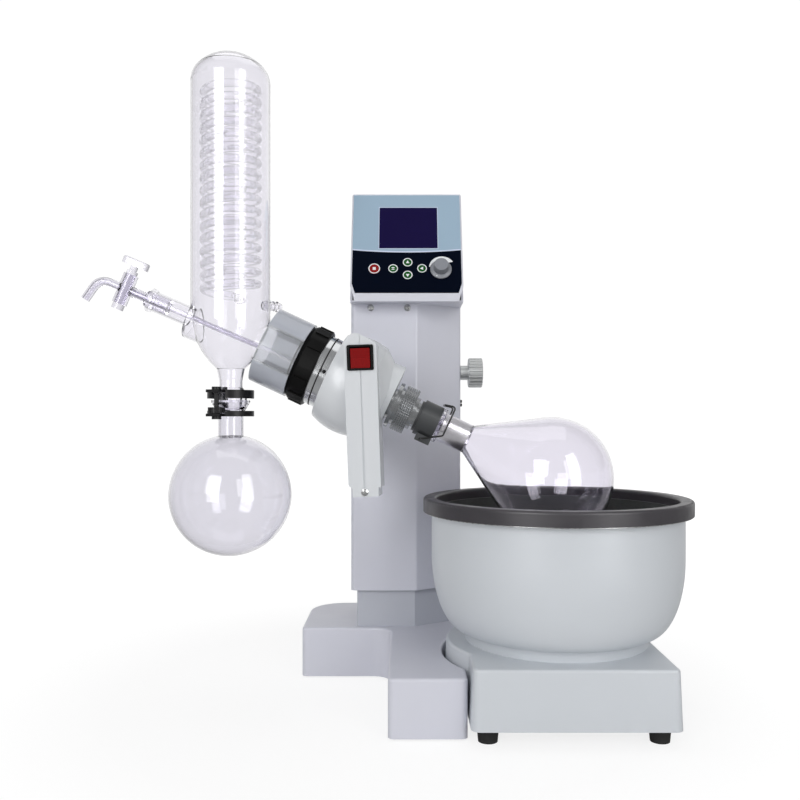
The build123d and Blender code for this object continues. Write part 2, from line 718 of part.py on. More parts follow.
def tilt_clamp():
    """A split block inside the sleeve that the lock screw pinches on the tilt spindle."""
    front = COLUMN_FRONT + SLEEVE_WALL
    body = Box(CLAMP_BLOCK_W, CLAMP_BLOCK_END_Y - front, CLAMP_BLOCK_DOWN + CLAMP_BLOCK_UP,
               align=(Align.CENTER, Align.MIN, Align.MIN))
    body = Pos(HEAD_X, front, HEAD_Z - CLAMP_BLOCK_DOWN) * body
    slit = Box(CLAMP_SLIT, CLAMP_BLOCK_END_Y, CLAMP_BLOCK_UP, align=(Align.CENTER, Align.MIN, Align.MIN))
    body -= Pos(PIVOT[0], 0, PIVOT[2]) * slit
    body -= SPINDLE * rod(SPINDLE_R + RUN_CLEARANCE, 0, CLAMP_BLOCK_END_Y - HEAD_Y)
    return body - LOCK * rod(LOCK_SCREW_R + RUN_CLEARANCE, -CLAMP_BLOCK_W, CLAMP_BLOCK_W)


def tilt_spindle():
    """The pin that the head tilts on, with a ring behind the clamp block."""
    start = BARREL_START_Y - HEAD_Y
    ring = CLAMP_BLOCK_END_Y + SLIDE_CLEARANCE - HEAD_Y
    pin = rod(SPINDLE_R, start, SPINDLE_END_Y - HEAD_Y)
    return SPINDLE * (pin + rod(SPINDLE_RING_R, ring, ring + SPINDLE_RING_T))


def tilt_lock_knob():
    """A fluted knob on the column's right side, with a screw that reaches the clamp block."""
    start = LOCK_REACH + SLIDE_CLEARANCE
    knob_start = start + LOCK_BOSS_L
    knob_end = knob_start + LOCK_KNOB_L
    edge = LOCK_KNOB_R - LOCK_KNOB_EDGE
    knob = lathe((0, knob_start), (edge, knob_start), (LOCK_KNOB_R, knob_start + LOCK_KNOB_EDGE),
                 (LOCK_KNOB_R, knob_end - LOCK_KNOB_EDGE), (edge, knob_end), (0, knob_end))
    knob -= ring_of(LOCK_FLUTES, Pos(LOCK_KNOB_R, 0) * rod(LOCK_FLUTE_R, knob_start, knob_end))
    knob += rod(LOCK_BOSS_R, start, knob_start)
    return LOCK * (knob + rod(LOCK_SCREW_R, -CLAMP_BLOCK_W / 2, start))


DOME_RISE = DOME_MAX_R - DOME_LEFT_R
DOME_ARC_R = (DOME_RISE**2 + (DOME_MAX_U - DOME_LEFT_U) ** 2) / (2 * DOME_RISE)
BARREL_START_Y = HEAD_Y + DOME_MAX_R
POD_DEPTH = HEAD_Y - POD_FRONT_Y
POD_FRONT = Plane(
    (HEAD_X, POD_FRONT_Y, HEAD_Z), x_dir=(math.cos(LEAN), 0, math.sin(LEAN)), z_dir=(0, -1, 0)
)


def dome_radius(u, inset):
    return DOME_MAX_R - DOME_ARC_R + math.sqrt((DOME_ARC_R - inset) ** 2 - (u - DOME_MAX_U) ** 2)


def dome(inset):
    """The round middle of the head: a barrel-shaped left side and a cone towards the flask."""
    left = DOME_LEFT_U + inset
    waist = DOME_END_U - inset
    profile = make_face([
        Line((0, left), (dome_radius(left, inset), left)),
        ThreePointArc((dome_radius(left, inset), left), (DOME_MAX_R - inset, DOME_MAX_U),
                      (dome_radius(DOME_CONE_U, inset), DOME_CONE_U)),
        Line((dome_radius(DOME_CONE_U, inset), DOME_CONE_U), (DOME_END_R - inset, waist)),
        Line((DOME_END_R - inset, waist), (0, waist)),
        Line((0, waist), (0, left)),
    ])
    return ROTOR * revolve(Plane.XZ * profile, Axis.Z)


def pod_outline(inset):
    """Front view of the pod: a top that falls to the right, and a narrower foot."""
    half = POD_W / 2 - inset
    floor = POD_FOOT_TOP + inset
    shoulder = POD_SHOULDER - inset
    top = POD_TOP - inset
    outline = make_face(Polyline(
        (-half, floor), (-half, shoulder), (POD_APEX_X, top), (half, shoulder), (half, floor), close=True,
    ))
    outline = fillet(corner(outline, POD_APEX_X, top), POD_APEX_R - inset)
    for x, z in ((-half, shoulder), (half, shoulder), (-half, floor)):
        outline = fillet(corner(outline, x, z), POD_CORNER - inset)
    foot_w = POD_FOOT_W - 2 * inset
    foot = Rectangle(foot_w, floor + POD_CORNER - POD_BOTTOM - inset, align=(Align.CENTER, Align.MIN))
    return outline + Pos(POD_FOOT_X, POD_BOTTOM + inset) * foot


def pod(inset):
    """The upright box at the front of the head that holds the motor."""
    depth = POD_DEPTH - POD_BACK_GAP - 2 * inset
    body = extrude(pod_outline(inset), -depth, taper=-POD_DRAFT)
    return POD_FRONT * Pos(0, 0, -inset) * body


def parting_groove():
    """A groove along the joint of the two mouldings that widens towards the foot."""
    top = PARTING_TOP_W / 2
    low = PARTING_FOOT_W / 2
    outline = make_face(Polyline(
        (-top, POD_TOP), (top, POD_TOP), (low, POD_FOOT_TOP), (-low, POD_FOOT_TOP), close=True,
    ))
    return POD_FRONT * extrude(outline, -PARTING_DEPTH)


def head_shell():
    """The whole moulded housing, before it is parted in two."""
    body = dome(0) + pod(0)
    body += ROTOR * Pos(0, -NECK_RISE) * rod(NECK_R, NECK_START_U, NECK_END_U)
    body += SPINDLE * rod(SPINDLE_BARREL_R, DOME_END_R, SPINDLE_WALL - SLIDE_CLEARANCE)
    body -= ROTOR * rod(FLANGE_R + HEAD_WALL, FLANGE_LEFT_U, DOME_LEFT_U)
    body -= dome(HEAD_WALL)
    body -= pod(HEAD_WALL)
    body -= parting_groove()
    body -= ROTOR * rod(FLANGE_SPIGOT_R + SEAT_CLEARANCE, DOME_LEFT_U, DOME_LEFT_U + HEAD_WALL)
    body -= ROTOR * rod(BEARING_R + RUN_CLEARANCE, BEARING_RIGHT_U - HEAD_WALL, BEARING_RIGHT_U + BEARING_T)
    body -= ROTOR * rod(SHAFT_R + HEAD_WALL, BEARING_RIGHT_U, NECK_END_U)
    body -= SPINDLE * rod(SPINDLE_R + SEAT_CLEARANCE, DOME_MAX_R, SPINDLE_WALL)
    room = 2 * SEAT_CLEARANCE
    body -= SWITCH * block(SWITCH_BODY_W + room, SWITCH_BODY_H + room, -SWITCH_DEPTH, SWITCH_PROUD)
    return body - HEAD_SCREW * rod(HEAD_SCREW_R / 2 + SEAT_CLEARANCE, -2 * HEAD_WALL, 0)


def head_halves():
    """The housing's left and right mouldings, parted on the pod's middle plane."""
    body = head_shell()
    reach = 4 * POD_DEPTH
    side = POD * Box(reach, reach, reach, align=(Align.MAX, Align.CENTER, Align.CENTER))
    return body & side, body - side


SWITCH = POD_FRONT * Pos(0, SWITCH_Z)
SWITCH_BODY_W = SWITCH_W - 2 * SWITCH_PROUD
SWITCH_BODY_H = SWITCH_H - 2 * SWITCH_PROUD
HEAD_SCREW = POD_FRONT * Pos(0, HEAD_SCREW_Z)


def switch_bezel():
    frame = extrude(RectangleRounded(SWITCH_W, SWITCH_H, SWITCH_PROUD), SWITCH_PROUD)
    frame += block(SWITCH_BODY_W, SWITCH_BODY_H, -SWITCH_DEPTH, 0)
    room = 2 * ROCKER_GAP
    opening = block(ROCKER_W + room, ROCKER_H + room, SWITCH_PROUD - SWITCH_DEPTH, SWITCH_PROUD)
    return SWITCH * (frame - opening)


def rocker():
    """A rocker with two shallow faces, resting on its lower side."""
    half = ROCKER_H / 2
    face = make_face(Polyline(
        (-half, ROCKER_RISE), (0, ROCKER_RISE / 3), (half, ROCKER_RISE), (half - ROCKER_RISE, -ROCKER_T),
        (ROCKER_RISE - half, -ROCKER_T), close=True,
    ))
    key = extrude(Plane.YZ * face, ROCKER_W / 2, both=True)
    return SWITCH * Pos(0, 0, -ROCKER_T / 2) * Rot(ROCKER_SWING / 2, 0, 0) * Pos(0, 0, ROCKER_T / 2) * key


def head_screw():
    head = lathe((0, 0), (HEAD_SCREW_R, 0), (HEAD_SCREW_R, HEAD_SCREW_H / 2),
                 (HEAD_SCREW_R / 2, HEAD_SCREW_H), (0, HEAD_SCREW_H))
    return HEAD_SCREW * (head + rod(HEAD_SCREW_R / 2, -2 * HEAD_WALL, 0))


WORM_LEAD_ANGLE = math.radians(ROTOR_TILT + POD_LEAN)
WORM_PITCH_R = WORM_STARTS * GEAR_MODULE / math.sin(WORM_LEAD_ANGLE) / 2
WORM_LEAD = 2 * math.pi * WORM_PITCH_R * math.tan(WORM_LEAD_ANGLE)
WHEEL_PITCH_R = WHEEL_TEETH * GEAR_MODULE / 2
TOOTH_T = math.pi * GEAR_MODULE / 2 - TOOTH_BACKLASH
TOOTH_TIP = 0.65 * GEAR_MODULE
TOOTH_ROOT = 1.15 * GEAR_MODULE
TOOTH_SLOPE = math.tan(math.radians(20))
WORM = POD * Pos(0, -WHEEL_PITCH_R - WORM_PITCH_R, 0)


def tooth(pitch_r, thickness, slope):
    """A straight-sided tooth on the X axis, with its foot inside the root circle."""
    foot = TOOTH_ROOT + TOOTH_BACKLASH
    wide = thickness / 2 + foot * slope
    narrow = thickness / 2 - TOOTH_TIP * slope
    tip_r = pitch_r + TOOTH_TIP
    foot_r = pitch_r - foot
    points = ((foot_r, -wide), (tip_r, -narrow), (tip_r, narrow), (foot_r, wide))
    return make_face(Polyline(*points, close=True))


def worm_wheel():
    blank = Circle(WHEEL_PITCH_R - TOOTH_ROOT)
    half_pitch = 180 / WHEEL_TEETH
    blank += ring_of(WHEEL_TEETH, Rot(0, 0, half_pitch) * tooth(WHEEL_PITCH_R, TOOTH_T, TOOTH_SLOPE))
    wheel = extrude(blank - Circle(SHAFT_R + RUN_CLEARANCE), WHEEL_T / 2, both=True)
    return ROTOR * wheel


def drive_worm():
    """A right-handed worm of several starts, whose lead angle is the angle between pod and wheel."""
    spread = math.sin(WORM_LEAD_ANGLE)
    section = Circle(WORM_PITCH_R - TOOTH_ROOT)
    section += ring_of(WORM_STARTS, tooth(WORM_PITCH_R, TOOTH_T / spread, TOOTH_SLOPE / spread))
    twist = 360 * WORM_L / WORM_LEAD
    start = Pos(0, 0, -WORM_L / 2) * Rot(0, 0, 90 - twist / 2) * section
    thread = Solid.extrude_linear_with_rotation(start.face(), (0, 0, -WORM_L / 2), (0, 0, WORM_L), twist)
    return WORM * (rod(MOTOR_SHAFT_R, MOTOR_TOP - WORM_L / 2, -WORM_L / 2) + thread)


def drive_motor():
    body = rod(MOTOR_R, MOTOR_TOP - MOTOR_L, MOTOR_TOP)
    return WORM * (body - rod(MOTOR_SHAFT_R + RUN_CLEARANCE, MOTOR_TOP - WORM_L, MOTOR_TOP))


def hollow_shaft():
    """The steel rotor: a hollow shaft with a collar before the push-off nut and a nose for the clip."""
    collar_end = COLLAR_START_U + COLLAR_T
    outside = rod(SHAFT_R, SHAFT_START_U, SHAFT_END_U) + rod(COLLAR_R, COLLAR_START_U, collar_end)
    outside += rod(GROOVE_R, collar_end, NUT_START_U - SLIDE_CLEARANCE)
    outside += rod(NOSE_R, SHAFT_END_U, NOSE_END_U)
    return ROTOR * (outside - rod(SHAFT_BORE_R, SHAFT_START_U, NOSE_END_U))


def shaft_bearings():
    ring = tube(BEARING_R, SHAFT_R + RUN_CLEARANCE, 0, BEARING_T)
    return [ROTOR * Pos(0, 0, start) * ring for start in (BEARING_LEFT_U, BEARING_RIGHT_U)]


def shaft_seal():
    end = SHAFT_START_U - HEAD_WALL
    return ROTOR * tube(SEAL_R, VAPOUR_TUBE_R + RUN_CLEARANCE, end - SEAL_T, end)


def vapour_flange():
    """The steel flange that carries the left bearing and the thread for the condenser's union nut."""
    body = rod(FLANGE_R, FLANGE_LEFT_U, DOME_LEFT_U)
    body += rod(FLANGE_SPIGOT_R, DOME_LEFT_U, FLANGE_SPIGOT_END_U)
    body += rod(FLANGE_THREAD_R, FLANGE_THREAD_U, FLANGE_LEFT_U)
    body -= rod(SEAL_R + RUN_CLEARANCE, FLANGE_THREAD_U, BEARING_LEFT_U)
    body -= rod(BEARING_R + RUN_CLEARANCE, BEARING_LEFT_U, FLANGE_SPIGOT_END_U)
    hole = Rot(0, 90, 0) * rod(FLANGE_SET_SCREW_R, 0, FLANGE_R)
    return ROTOR * (body - Pos(FLANGE_SPIGOT_R, 0, (FLANGE_LEFT_U + DOME_LEFT_U) / 2) * hole)


def union_nut():
    """A black grip nut that pulls the condenser's side tube against the flange."""
    end = FLANGE_LEFT_U - SEAT_CLEARANCE
    lip = UNION_LEFT_U + UNION_LIP_T
    bore = SIDE_TUBE_R + SLIDE_CLEARANCE
    thread = FLANGE_THREAD_R + SEAT_CLEARANCE
    nut = lathe((bore, UNION_LEFT_U), (UNION_LEFT_R - UNION_BUMP_H, UNION_LEFT_U),
                (UNION_R, UNION_LEFT_U + UNION_CHAMFER_L), (UNION_R, end), (thread, end), (thread, lip),
                (bore, lip))
    low = UNION_LEFT_U + UNION_CHAMFER_L + UNION_BUMP_H
    bump = Pos(UNION_R, 0) * block(2 * UNION_BUMP_H, UNION_BUMP_W, low, end - UNION_BUMP_H)
    return ROTOR * (nut + ring_of(UNION_BUMPS, bump))


def vapour_guard():
    """A clear grey sleeve round the condenser's side tube, with a web that sits on the tube."""
    end = UNION_LEFT_U - SEAT_CLEARANCE
    sleeve = tube(GUARD_R, GUARD_R - GUARD_WALL, GUARD_LEFT_U, end)
    return ROTOR * (sleeve + tube(GUARD_R, SIDE_TUBE_R + SLIDE_CLEARANCE, end - GUARD_WEB_T, end))


def push_off_nut():
    """The knurled nut that jacks the flask off its cone."""
    end = NUT_START_U + NUT_L
    nut = rod(NUT_R, NUT_START_U, end) + rod(HUB_R, end, SHAFT_END_U)
    nut -= ring_of(NUT_KNURLS, Pos(NUT_R, 0) * rod(NUT_KNURL_R, NUT_START_U, end))
    return ROTOR * (nut - rod(SHAFT_R + RUN_CLEARANCE, NUT_START_U, SHAFT_END_U))


def vapour_tube():
    """The glass tube through the shaft, ending in the ground cone that the flask sits on."""
    return ROTOR * lathe(
        (VAPOUR_BORE_R, VAPOUR_START_U), (VAPOUR_TUBE_R, VAPOUR_START_U),
        (VAPOUR_TUBE_R, NOSE_END_U + SLIDE_CLEARANCE), (CONE_START_R, CONE_START_U - NECK_BEAD_T),
        (CONE_START_R, CONE_START_U), (CONE_END_R, CONE_END_U), (VAPOUR_BORE_R, CONE_END_U),
    )


def flask_clip():
    """A plastic clip on the shaft's nose that holds the flask by its bead."""
    end = CLIP_START_U + CLIP_L
    step = CLIP_START_U + CLIP_WALL
    nose = NOSE_R + SEAT_CLEARANCE
    inside = CLIP_R - CLIP_WALL
    clip = lathe((nose, CLIP_START_U), (CLIP_COLLAR_R, CLIP_START_U), (CLIP_COLLAR_R, step), (CLIP_R, step),
                 (CLIP_R, end), (inside, end), (inside, NOSE_END_U), (nose, NOSE_END_U))
    lug_h = CLIP_LUG_H + CLIP_WALL
    lug = Box(CLIP_LUG_H, lug_h, CLIP_LUG_L, align=(Align.CENTER, Align.MAX, Align.MAX))
    hole = Rot(0, 90, 0) * rod(BAIL_R + RUN_CLEARANCE, -CLIP_LUG_H, CLIP_LUG_H)
    for x in (-CLIP_LUG_W, CLIP_LUG_W):
        clip += Pos(x, BAIL_PIVOT_R + CLIP_LUG_H / 2, end) * lug
        clip -= Pos(x, BAIL_PIVOT_R, BAIL_PIVOT_U) * hole
    return ROTOR * clip


def wire_bail():
    """A sprung wire hoop from the clip's lower lugs over the top of the flask's neck."""
    ear = CLIP_LUG_W - CLIP_LUG_H / 2
    points = []
    for side in (1, -1):
        leg = [
            (side * ear, BAIL_PIVOT_R, BAIL_PIVOT_U), (side * BAIL_HALF_W, BAIL_PIVOT_R, BAIL_PIVOT_U),
            (side * BAIL_HALF_W, BAIL_KNEE_Y, BAIL_U), (side * BAIL_HALF_W, BAIL_CORNER_Y, BAIL_U),
            (side * BAIL_HALF_W, -BAIL_HALF_W, BAIL_HOOK_U),
        ]
        points += leg if side == 1 else leg[::-1]
    path = FilletPolyline(*points, radius=3 * BAIL_R)
    section = Plane(path @ 0, z_dir=path % 0) * Circle(BAIL_R)
    return ROTOR * sweep(section, path=path)


def bulb(neck_r, neck_end, centre, radius):
    """Outline of a pear-shaped flask from its neck to its far pole, as a tangent line and an arc."""
    away = math.atan2(neck_r, centre - neck_end)
    span = math.hypot(neck_r, centre - neck_end)
    turn = away + math.acos(radius / span)
    touch = (radius * math.sin(turn), centre - radius * math.cos(turn))
    return [
        Line((neck_r, neck_end), touch),
        ThreePointArc(touch, (radius * math.sin(2), centre - radius * math.cos(2)), (0, centre + radius)),
    ]


def evaporating_flask():
    bead_end = CONE_START_U + NECK_BEAD_T / 2
    bead_start = bead_end - NECK_BEAD_T
    mouth_r = CONE_START_R + RUN_CLEARANCE
    socket_r = CONE_END_R + RUN_CLEARANCE
    inner_r = FLASK_NECK_R - GLASS_WALL
    profile = make_face([
        Line((mouth_r, bead_start), (NECK_BEAD_R, bead_start)),
        Line((NECK_BEAD_R, bead_start), (NECK_BEAD_R, bead_end)),
        Line((NECK_BEAD_R, bead_end), (FLASK_NECK_R, bead_end)),
        Line((FLASK_NECK_R, bead_end), (FLASK_NECK_R, FLASK_NECK_END_U)),
        *bulb(FLASK_NECK_R, FLASK_NECK_END_U, FLASK_U, FLASK_R),
        Line((0, FLASK_U + FLASK_R), (0, FLASK_U + FLASK_R - GLASS_WALL)),
        *bulb(inner_r, FLASK_NECK_END_U, FLASK_U, FLASK_R - GLASS_WALL),
        Line((inner_r, FLASK_NECK_END_U), (socket_r, CONE_END_U)),
        Line((socket_r, CONE_END_U), (mouth_r, CONE_START_U)),
        Line((mouth_r, CONE_START_U), (mouth_r, bead_start)),
    ])
    return ROTOR * revolve(Plane.XZ * profile, Axis.Z)


CONDENSER = Pos(CONDENSER_X, HEAD_Y)
CONDENSER_U = (CONDENSER_X - HEAD_X) / math.cos(TILT)
CONDENSER_D = (HEAD_X - CONDENSER_X) / math.cos(FEED)
OUTER_COIL_TOP = CONDENSER_TOP - COIL_HEADROOM
OUTER_COIL_TURNS = round((OUTER_COIL_TOP - OUTER_COIL_BOTTOM) / OUTER_COIL_SPACING)
OUTER_COIL_PITCH = (OUTER_COIL_TOP - OUTER_COIL_BOTTOM) / OUTER_COIL_TURNS


def dished_end(radius, base, height, knuckle):
    """A rounded end over a cylinder: a knuckle arc that runs into a flatter crown."""
    reach = radius - knuckle
    crown = (reach**2 + height**2 - knuckle**2) / (2 * (height - knuckle))
    drop = crown - height
    join = math.atan2(drop, reach)

    def on_arc(centre_x, centre_y, arc_r, angle):
        return centre_x + arc_r * math.cos(angle), centre_y + arc_r * math.sin(angle)

    corner_end = on_arc(reach, base, knuckle, join)
    crown_mid = on_arc(0, base - drop, crown, (join + math.pi / 2) / 2)
    return [
        ThreePointArc((radius, base), on_arc(reach, base, knuckle, join / 2), corner_end),
        ThreePointArc(corner_end, crown_mid, (0, base + height)),
    ]


def condenser_jacket(inset):
    """The upright jacket: a domed cylinder that closes in to the neck of the ball joint."""
    radius = CONDENSER_R - inset
    dome_z = CONDENSER_TOP - CONDENSER_DOME_H
    neck = CONDENSER_NECK_R - inset
    throat = CONDENSER_THROAT_R - inset
    foot = BALL_Z - BALL_R + inset
    profile = make_face([
        Line((0, foot), (neck, foot)),
        Line((neck, foot), (neck, CONDENSER_THROAT_Z - CONDENSER_NECK_R)),
        Line((neck, CONDENSER_THROAT_Z - CONDENSER_NECK_R), (throat, CONDENSER_THROAT_Z)),
        ThreePointArc((throat, CONDENSER_THROAT_Z), (CONDENSER_BELLY_R - inset, CONDENSER_BELLY_Z),
                      (radius, CONDENSER_SHOULDER_Z)),
        Line((radius, CONDENSER_SHOULDER_Z), (radius, dome_z)),
        *dished_end(radius, dome_z, CONDENSER_DOME_H - inset, CONDENSER_KNUCKLE_R - inset),
        Line((0, CONDENSER_TOP - inset), (0, foot)),
    ])
    return CONDENSER * revolve(Plane.XZ * profile, Axis.Z)


def feed_arm(inset):
    """The trumpet-shaped side arm that the stopcock plugs into."""
    start = CONDENSER_D + ARM_FLARE_D / 2
    flare = CONDENSER_D + ARM_FLARE_D
    straight = ARM_MOUTH_D - 2 * ARM_FLARE_R
    knee = ((ARM_FLARE_R + 2 * ARM_R) / 3 - inset, (flare + straight) / 2)
    end = ARM_MOUTH_D
    profile = make_face([
        Line((0, start), (ARM_FLARE_R - inset, start)),
        Line((ARM_FLARE_R - inset, start), (ARM_FLARE_R - inset, flare)),
        ThreePointArc((ARM_FLARE_R - inset, flare), knee, (ARM_R - inset, straight)),
        Line((ARM_R - inset, straight), (ARM_R - inset, end)),
        Line((ARM_R - inset, end), (0, end)),
        Line((0, end), (0, start)),
    ])
    return ARM * revolve(Plane.XZ * profile, Axis.Z)


def hose_nipple(bore):
    """A ribbed glass hose nipple, or its bore, along Z from inside the jacket's wall."""
    start = CONDENSER_R - GLASS_WALL
    end = CONDENSER_R + NIPPLE_L
    if bore:
        return rod(NIPPLE_BORE_R, start - GLASS_WALL, end)
    points = [(0, start), (NIPPLE_R, start)]
    for index in range(NIPPLE_RIBS, 0, -1):
        low = end - index * NIPPLE_RIB_L
        points += [(NIPPLE_R, low), (NIPPLE_R + NIPPLE_RIB_H, low)]
        points.append((NIPPLE_R - NIPPLE_RIB_H, low + NIPPLE_RIB_L))
    return lathe(*points, (0, end))


def nipple_places():
    angle = math.radians(VACUUM_NIPPLE_TURN)
    axis = Vector(CONDENSER_X, HEAD_Y)
    places = [Plane(axis + Vector(0, 0, VACUUM_NIPPLE_Z), z_dir=(math.cos(angle), math.sin(angle), 0))]
    for z in (OUTER_COIL_BOTTOM, OUTER_COIL_TOP):
        places.append(Plane(axis + Vector(0, 0, z), z_dir=(0, 1, 0)))
    return places


def condenser_body():
    """The glass condenser with its side tube, feed arm, ball joint and hose nipples, hollow throughout."""
    side_end = FLANGE_THREAD_U - SEAT_CLEARANCE
    side_start = CONDENSER_U + SIDE_TUBE_R
    body = condenser_jacket(0) + feed_arm(0)
    body += ROTOR * rod(SIDE_TUBE_R, side_start, side_end)
    body += ROTOR * rod(SIDE_FLANGE_R, side_end - SIDE_FLANGE_T, side_end)
    body += ARM * rod(ARM_BEAD_R, ARM_MOUTH_D - ARM_BEAD_L, ARM_MOUTH_D)
    body += CONDENSER * Pos(0, 0, BALL_Z) * Sphere(BALL_R)
    for place in nipple_places():
        body += place * hose_nipple(False)
    body -= condenser_jacket(GLASS_WALL)
    body -= feed_arm(GLASS_WALL)
    body -= ROTOR * rod(SIDE_TUBE_R - GLASS_WALL, side_start, side_end)
    for place in nipple_places():
        body -= place * hose_nipple(True)
    return body - CONDENSER * block(2 * BALL_R, 2 * BALL_R, BALL_Z - BALL_R, BALL_END_Z)


def coil(radius, pitch, turns, tube_d):
    """A glass coil about the condenser's axis, as a mitred tube that starts and ends at the rear."""
    points = []
    for step in range(turns * COIL_CHORDS + 1):
        angle = math.pi / 2 + 2 * math.pi * step / COIL_CHORDS
        height = OUTER_COIL_BOTTOM + pitch * step / COIL_CHORDS
        points.append((radius * math.cos(angle), radius * math.sin(angle), height))
    path = Polyline(*points)
    section = Plane(path @ 0, z_dir=path % 0) * RegularPolygon(tube_d / 2, COIL_SIDES)
    return sweep(section, path=path, transition=Transition.RIGHT)


def coil_stubs(start, end, heights, tube_d):
    """Short radial ends of a coil, towards the rear."""
    return [Plane((0, 0, z), z_dir=(0, 1, 0)) * rod(tube_d / 2, start, end) for z in heights]


def outer_coil():
    body = coil(OUTER_COIL_R, OUTER_COIL_PITCH, OUTER_COIL_TURNS, OUTER_COIL_TUBE)
    wall = CONDENSER_R - GLASS_WALL - COIL_WALL_GAP
    stubs = coil_stubs(OUTER_COIL_R, wall, (OUTER_COIL_BOTTOM, OUTER_COIL_TOP), OUTER_COIL_TUBE)
    return CONDENSER * (body + stubs)


def inner_coil():
    height = OUTER_COIL_PITCH * (OUTER_COIL_TURNS - 1)
    turns = round(height / INNER_COIL_SPACING)
    body = coil(INNER_COIL_R, height / turns, turns, INNER_COIL_TUBE)
    reach = OUTER_COIL_R - OUTER_COIL_TUBE / 2 - COIL_WALL_GAP
    ends = (OUTER_COIL_BOTTOM, OUTER_COIL_BOTTOM + height)
    stubs = coil_stubs(INNER_COIL_R, reach, ends, INNER_COIL_TUBE)
    return CONDENSER * (body + stubs)


STOPCOCK_D = ARM_MOUTH_D + STOPCOCK_OUT
STOPCOCK = ARM * Pos(0, 0, STOPCOCK_D)
UPRIGHT = Rot(-90, 0, 0)


def spout(radius):
    """The bent outlet of the stopcock."""
    turn = math.radians(SPOUT_TURN)
    fall = SPOUT_BEND_R * math.tan(turn / 2) + SPOUT_DROP
    tip = (0, -fall * math.sin(turn), SPOUT_RUN + fall * math.cos(turn))
    path = FilletPolyline((0, 0, KEY_PLUG_R), (0, 0, SPOUT_RUN), tip, radius=SPOUT_BEND_R)
    return sweep(Plane(path @ 0, z_dir=path % 0) * Circle(radius), path=path)


def stopcock_body():
    """The glass valve: a ground plug for the arm, an upright barrel and a bent spout."""
    plug_r = ARM_R - GLASS_WALL - SEAT_CLEARANCE
    plug_start = ARM_MOUTH_D - 2 * ARM_R - STOPCOCK_D
    plug_end = ARM_MOUTH_D + ARM_BEAD_L - STOPCOCK_D
    body = rod(plug_r, plug_start, plug_end) + rod(STOPCOCK_R - GLASS_WALL, plug_end, 0)
    body += UPRIGHT * rod(STOPCOCK_R, -STOPCOCK_L / 2, STOPCOCK_L / 2)
    body += spout(SPOUT_R)
    body -= spout(SPOUT_BORE_R)
    body -= UPRIGHT * rod(KEY_PLUG_R + RUN_CLEARANCE, -STOPCOCK_L / 2, STOPCOCK_L / 2)
    return STOPCOCK * (body - rod(FEED_R + SEAT_CLEARANCE, plug_start, -KEY_PLUG_R))


def stopcock_key():
    """The turning plug, with an oval handle above the barrel and a retaining nut below it."""
    top = STOPCOCK_L / 2 + SLIDE_CLEARANCE
    low = -top
    key = rod(KEY_PLUG_R, low, top) + rod(KEY_CAP_R, top, top + KEY_STEM_H / 3)
    key += rod(KEY_STEM_R, top, top + KEY_STEM_H)
    handle = extrude(SlotOverall(KEY_HANDLE_L, KEY_HANDLE_W), KEY_HANDLE_T)
    handle = fillet(handle.edges().group_by(Axis.Z)[-1], KEY_HANDLE_T / 4)
    key += Pos(0, 0, top + KEY_STEM_H - KEY_HANDLE_T / 4) * Rot(0, 0, 90) * handle
    return STOPCOCK * UPRIGHT * (key + rod(KEY_NUT_R, low - KEY_NUT_H, low))


def feed_tube():
    end = STOPCOCK_D - KEY_PLUG_R - SLIDE_CLEARANCE
    return ARM * tube(FEED_R, FEED_BORE_R, -FEED_END_U, end)


def receiving_flask():
    """A round flask whose neck opens in a cup for the ball joint."""
    inner_neck = RECEIVER_NECK_R - GLASS_WALL
    inner_r = RECEIVER_R - GLASS_WALL
    cup_r = BALL_R + RUN_CLEARANCE
    seat_low = BALL_Z - math.sqrt(cup_r**2 - inner_neck**2)
    seat_r = math.sqrt(cup_r**2 - (BALL_Z - CUP_RIM_Z) ** 2)
    shoulder = RECEIVER_Z + math.sqrt(RECEIVER_R**2 - RECEIVER_NECK_R**2)
    inner_shoulder = RECEIVER_Z + math.sqrt(inner_r**2 - inner_neck**2)
    seat_mid = (math.asin(inner_neck / cup_r) + math.asin(seat_r / cup_r)) / 2
    profile = make_face([
        ThreePointArc((0, RECEIVER_Z - RECEIVER_R), (RECEIVER_R, RECEIVER_Z), (RECEIVER_NECK_R, shoulder)),
        Line((RECEIVER_NECK_R, shoulder), (RECEIVER_NECK_R, CUP_RIM_Z - CUP_H)),
        Line((RECEIVER_NECK_R, CUP_RIM_Z - CUP_H), (CUP_R, CUP_RIM_Z - GLASS_WALL)),
        Line((CUP_R, CUP_RIM_Z - GLASS_WALL), (CUP_R, CUP_RIM_Z)),
        Line((CUP_R, CUP_RIM_Z), (seat_r, CUP_RIM_Z)),
        ThreePointArc((seat_r, CUP_RIM_Z),
                      (cup_r * math.sin(seat_mid), BALL_Z - cup_r * math.cos(seat_mid)),
                      (inner_neck, seat_low)),
        Line((inner_neck, seat_low), (inner_neck, inner_shoulder)),
        ThreePointArc((inner_neck, inner_shoulder), (inner_r, RECEIVER_Z), (0, RECEIVER_Z - inner_r)),
        Line((0, RECEIVER_Z - inner_r), (0, RECEIVER_Z - RECEIVER_R)),
    ])
    return CONDENSER * revolve(Plane.XZ * profile, Axis.Z)


CLAMP = CONDENSER * Rot(0, 0, -CLAMP_TURN)


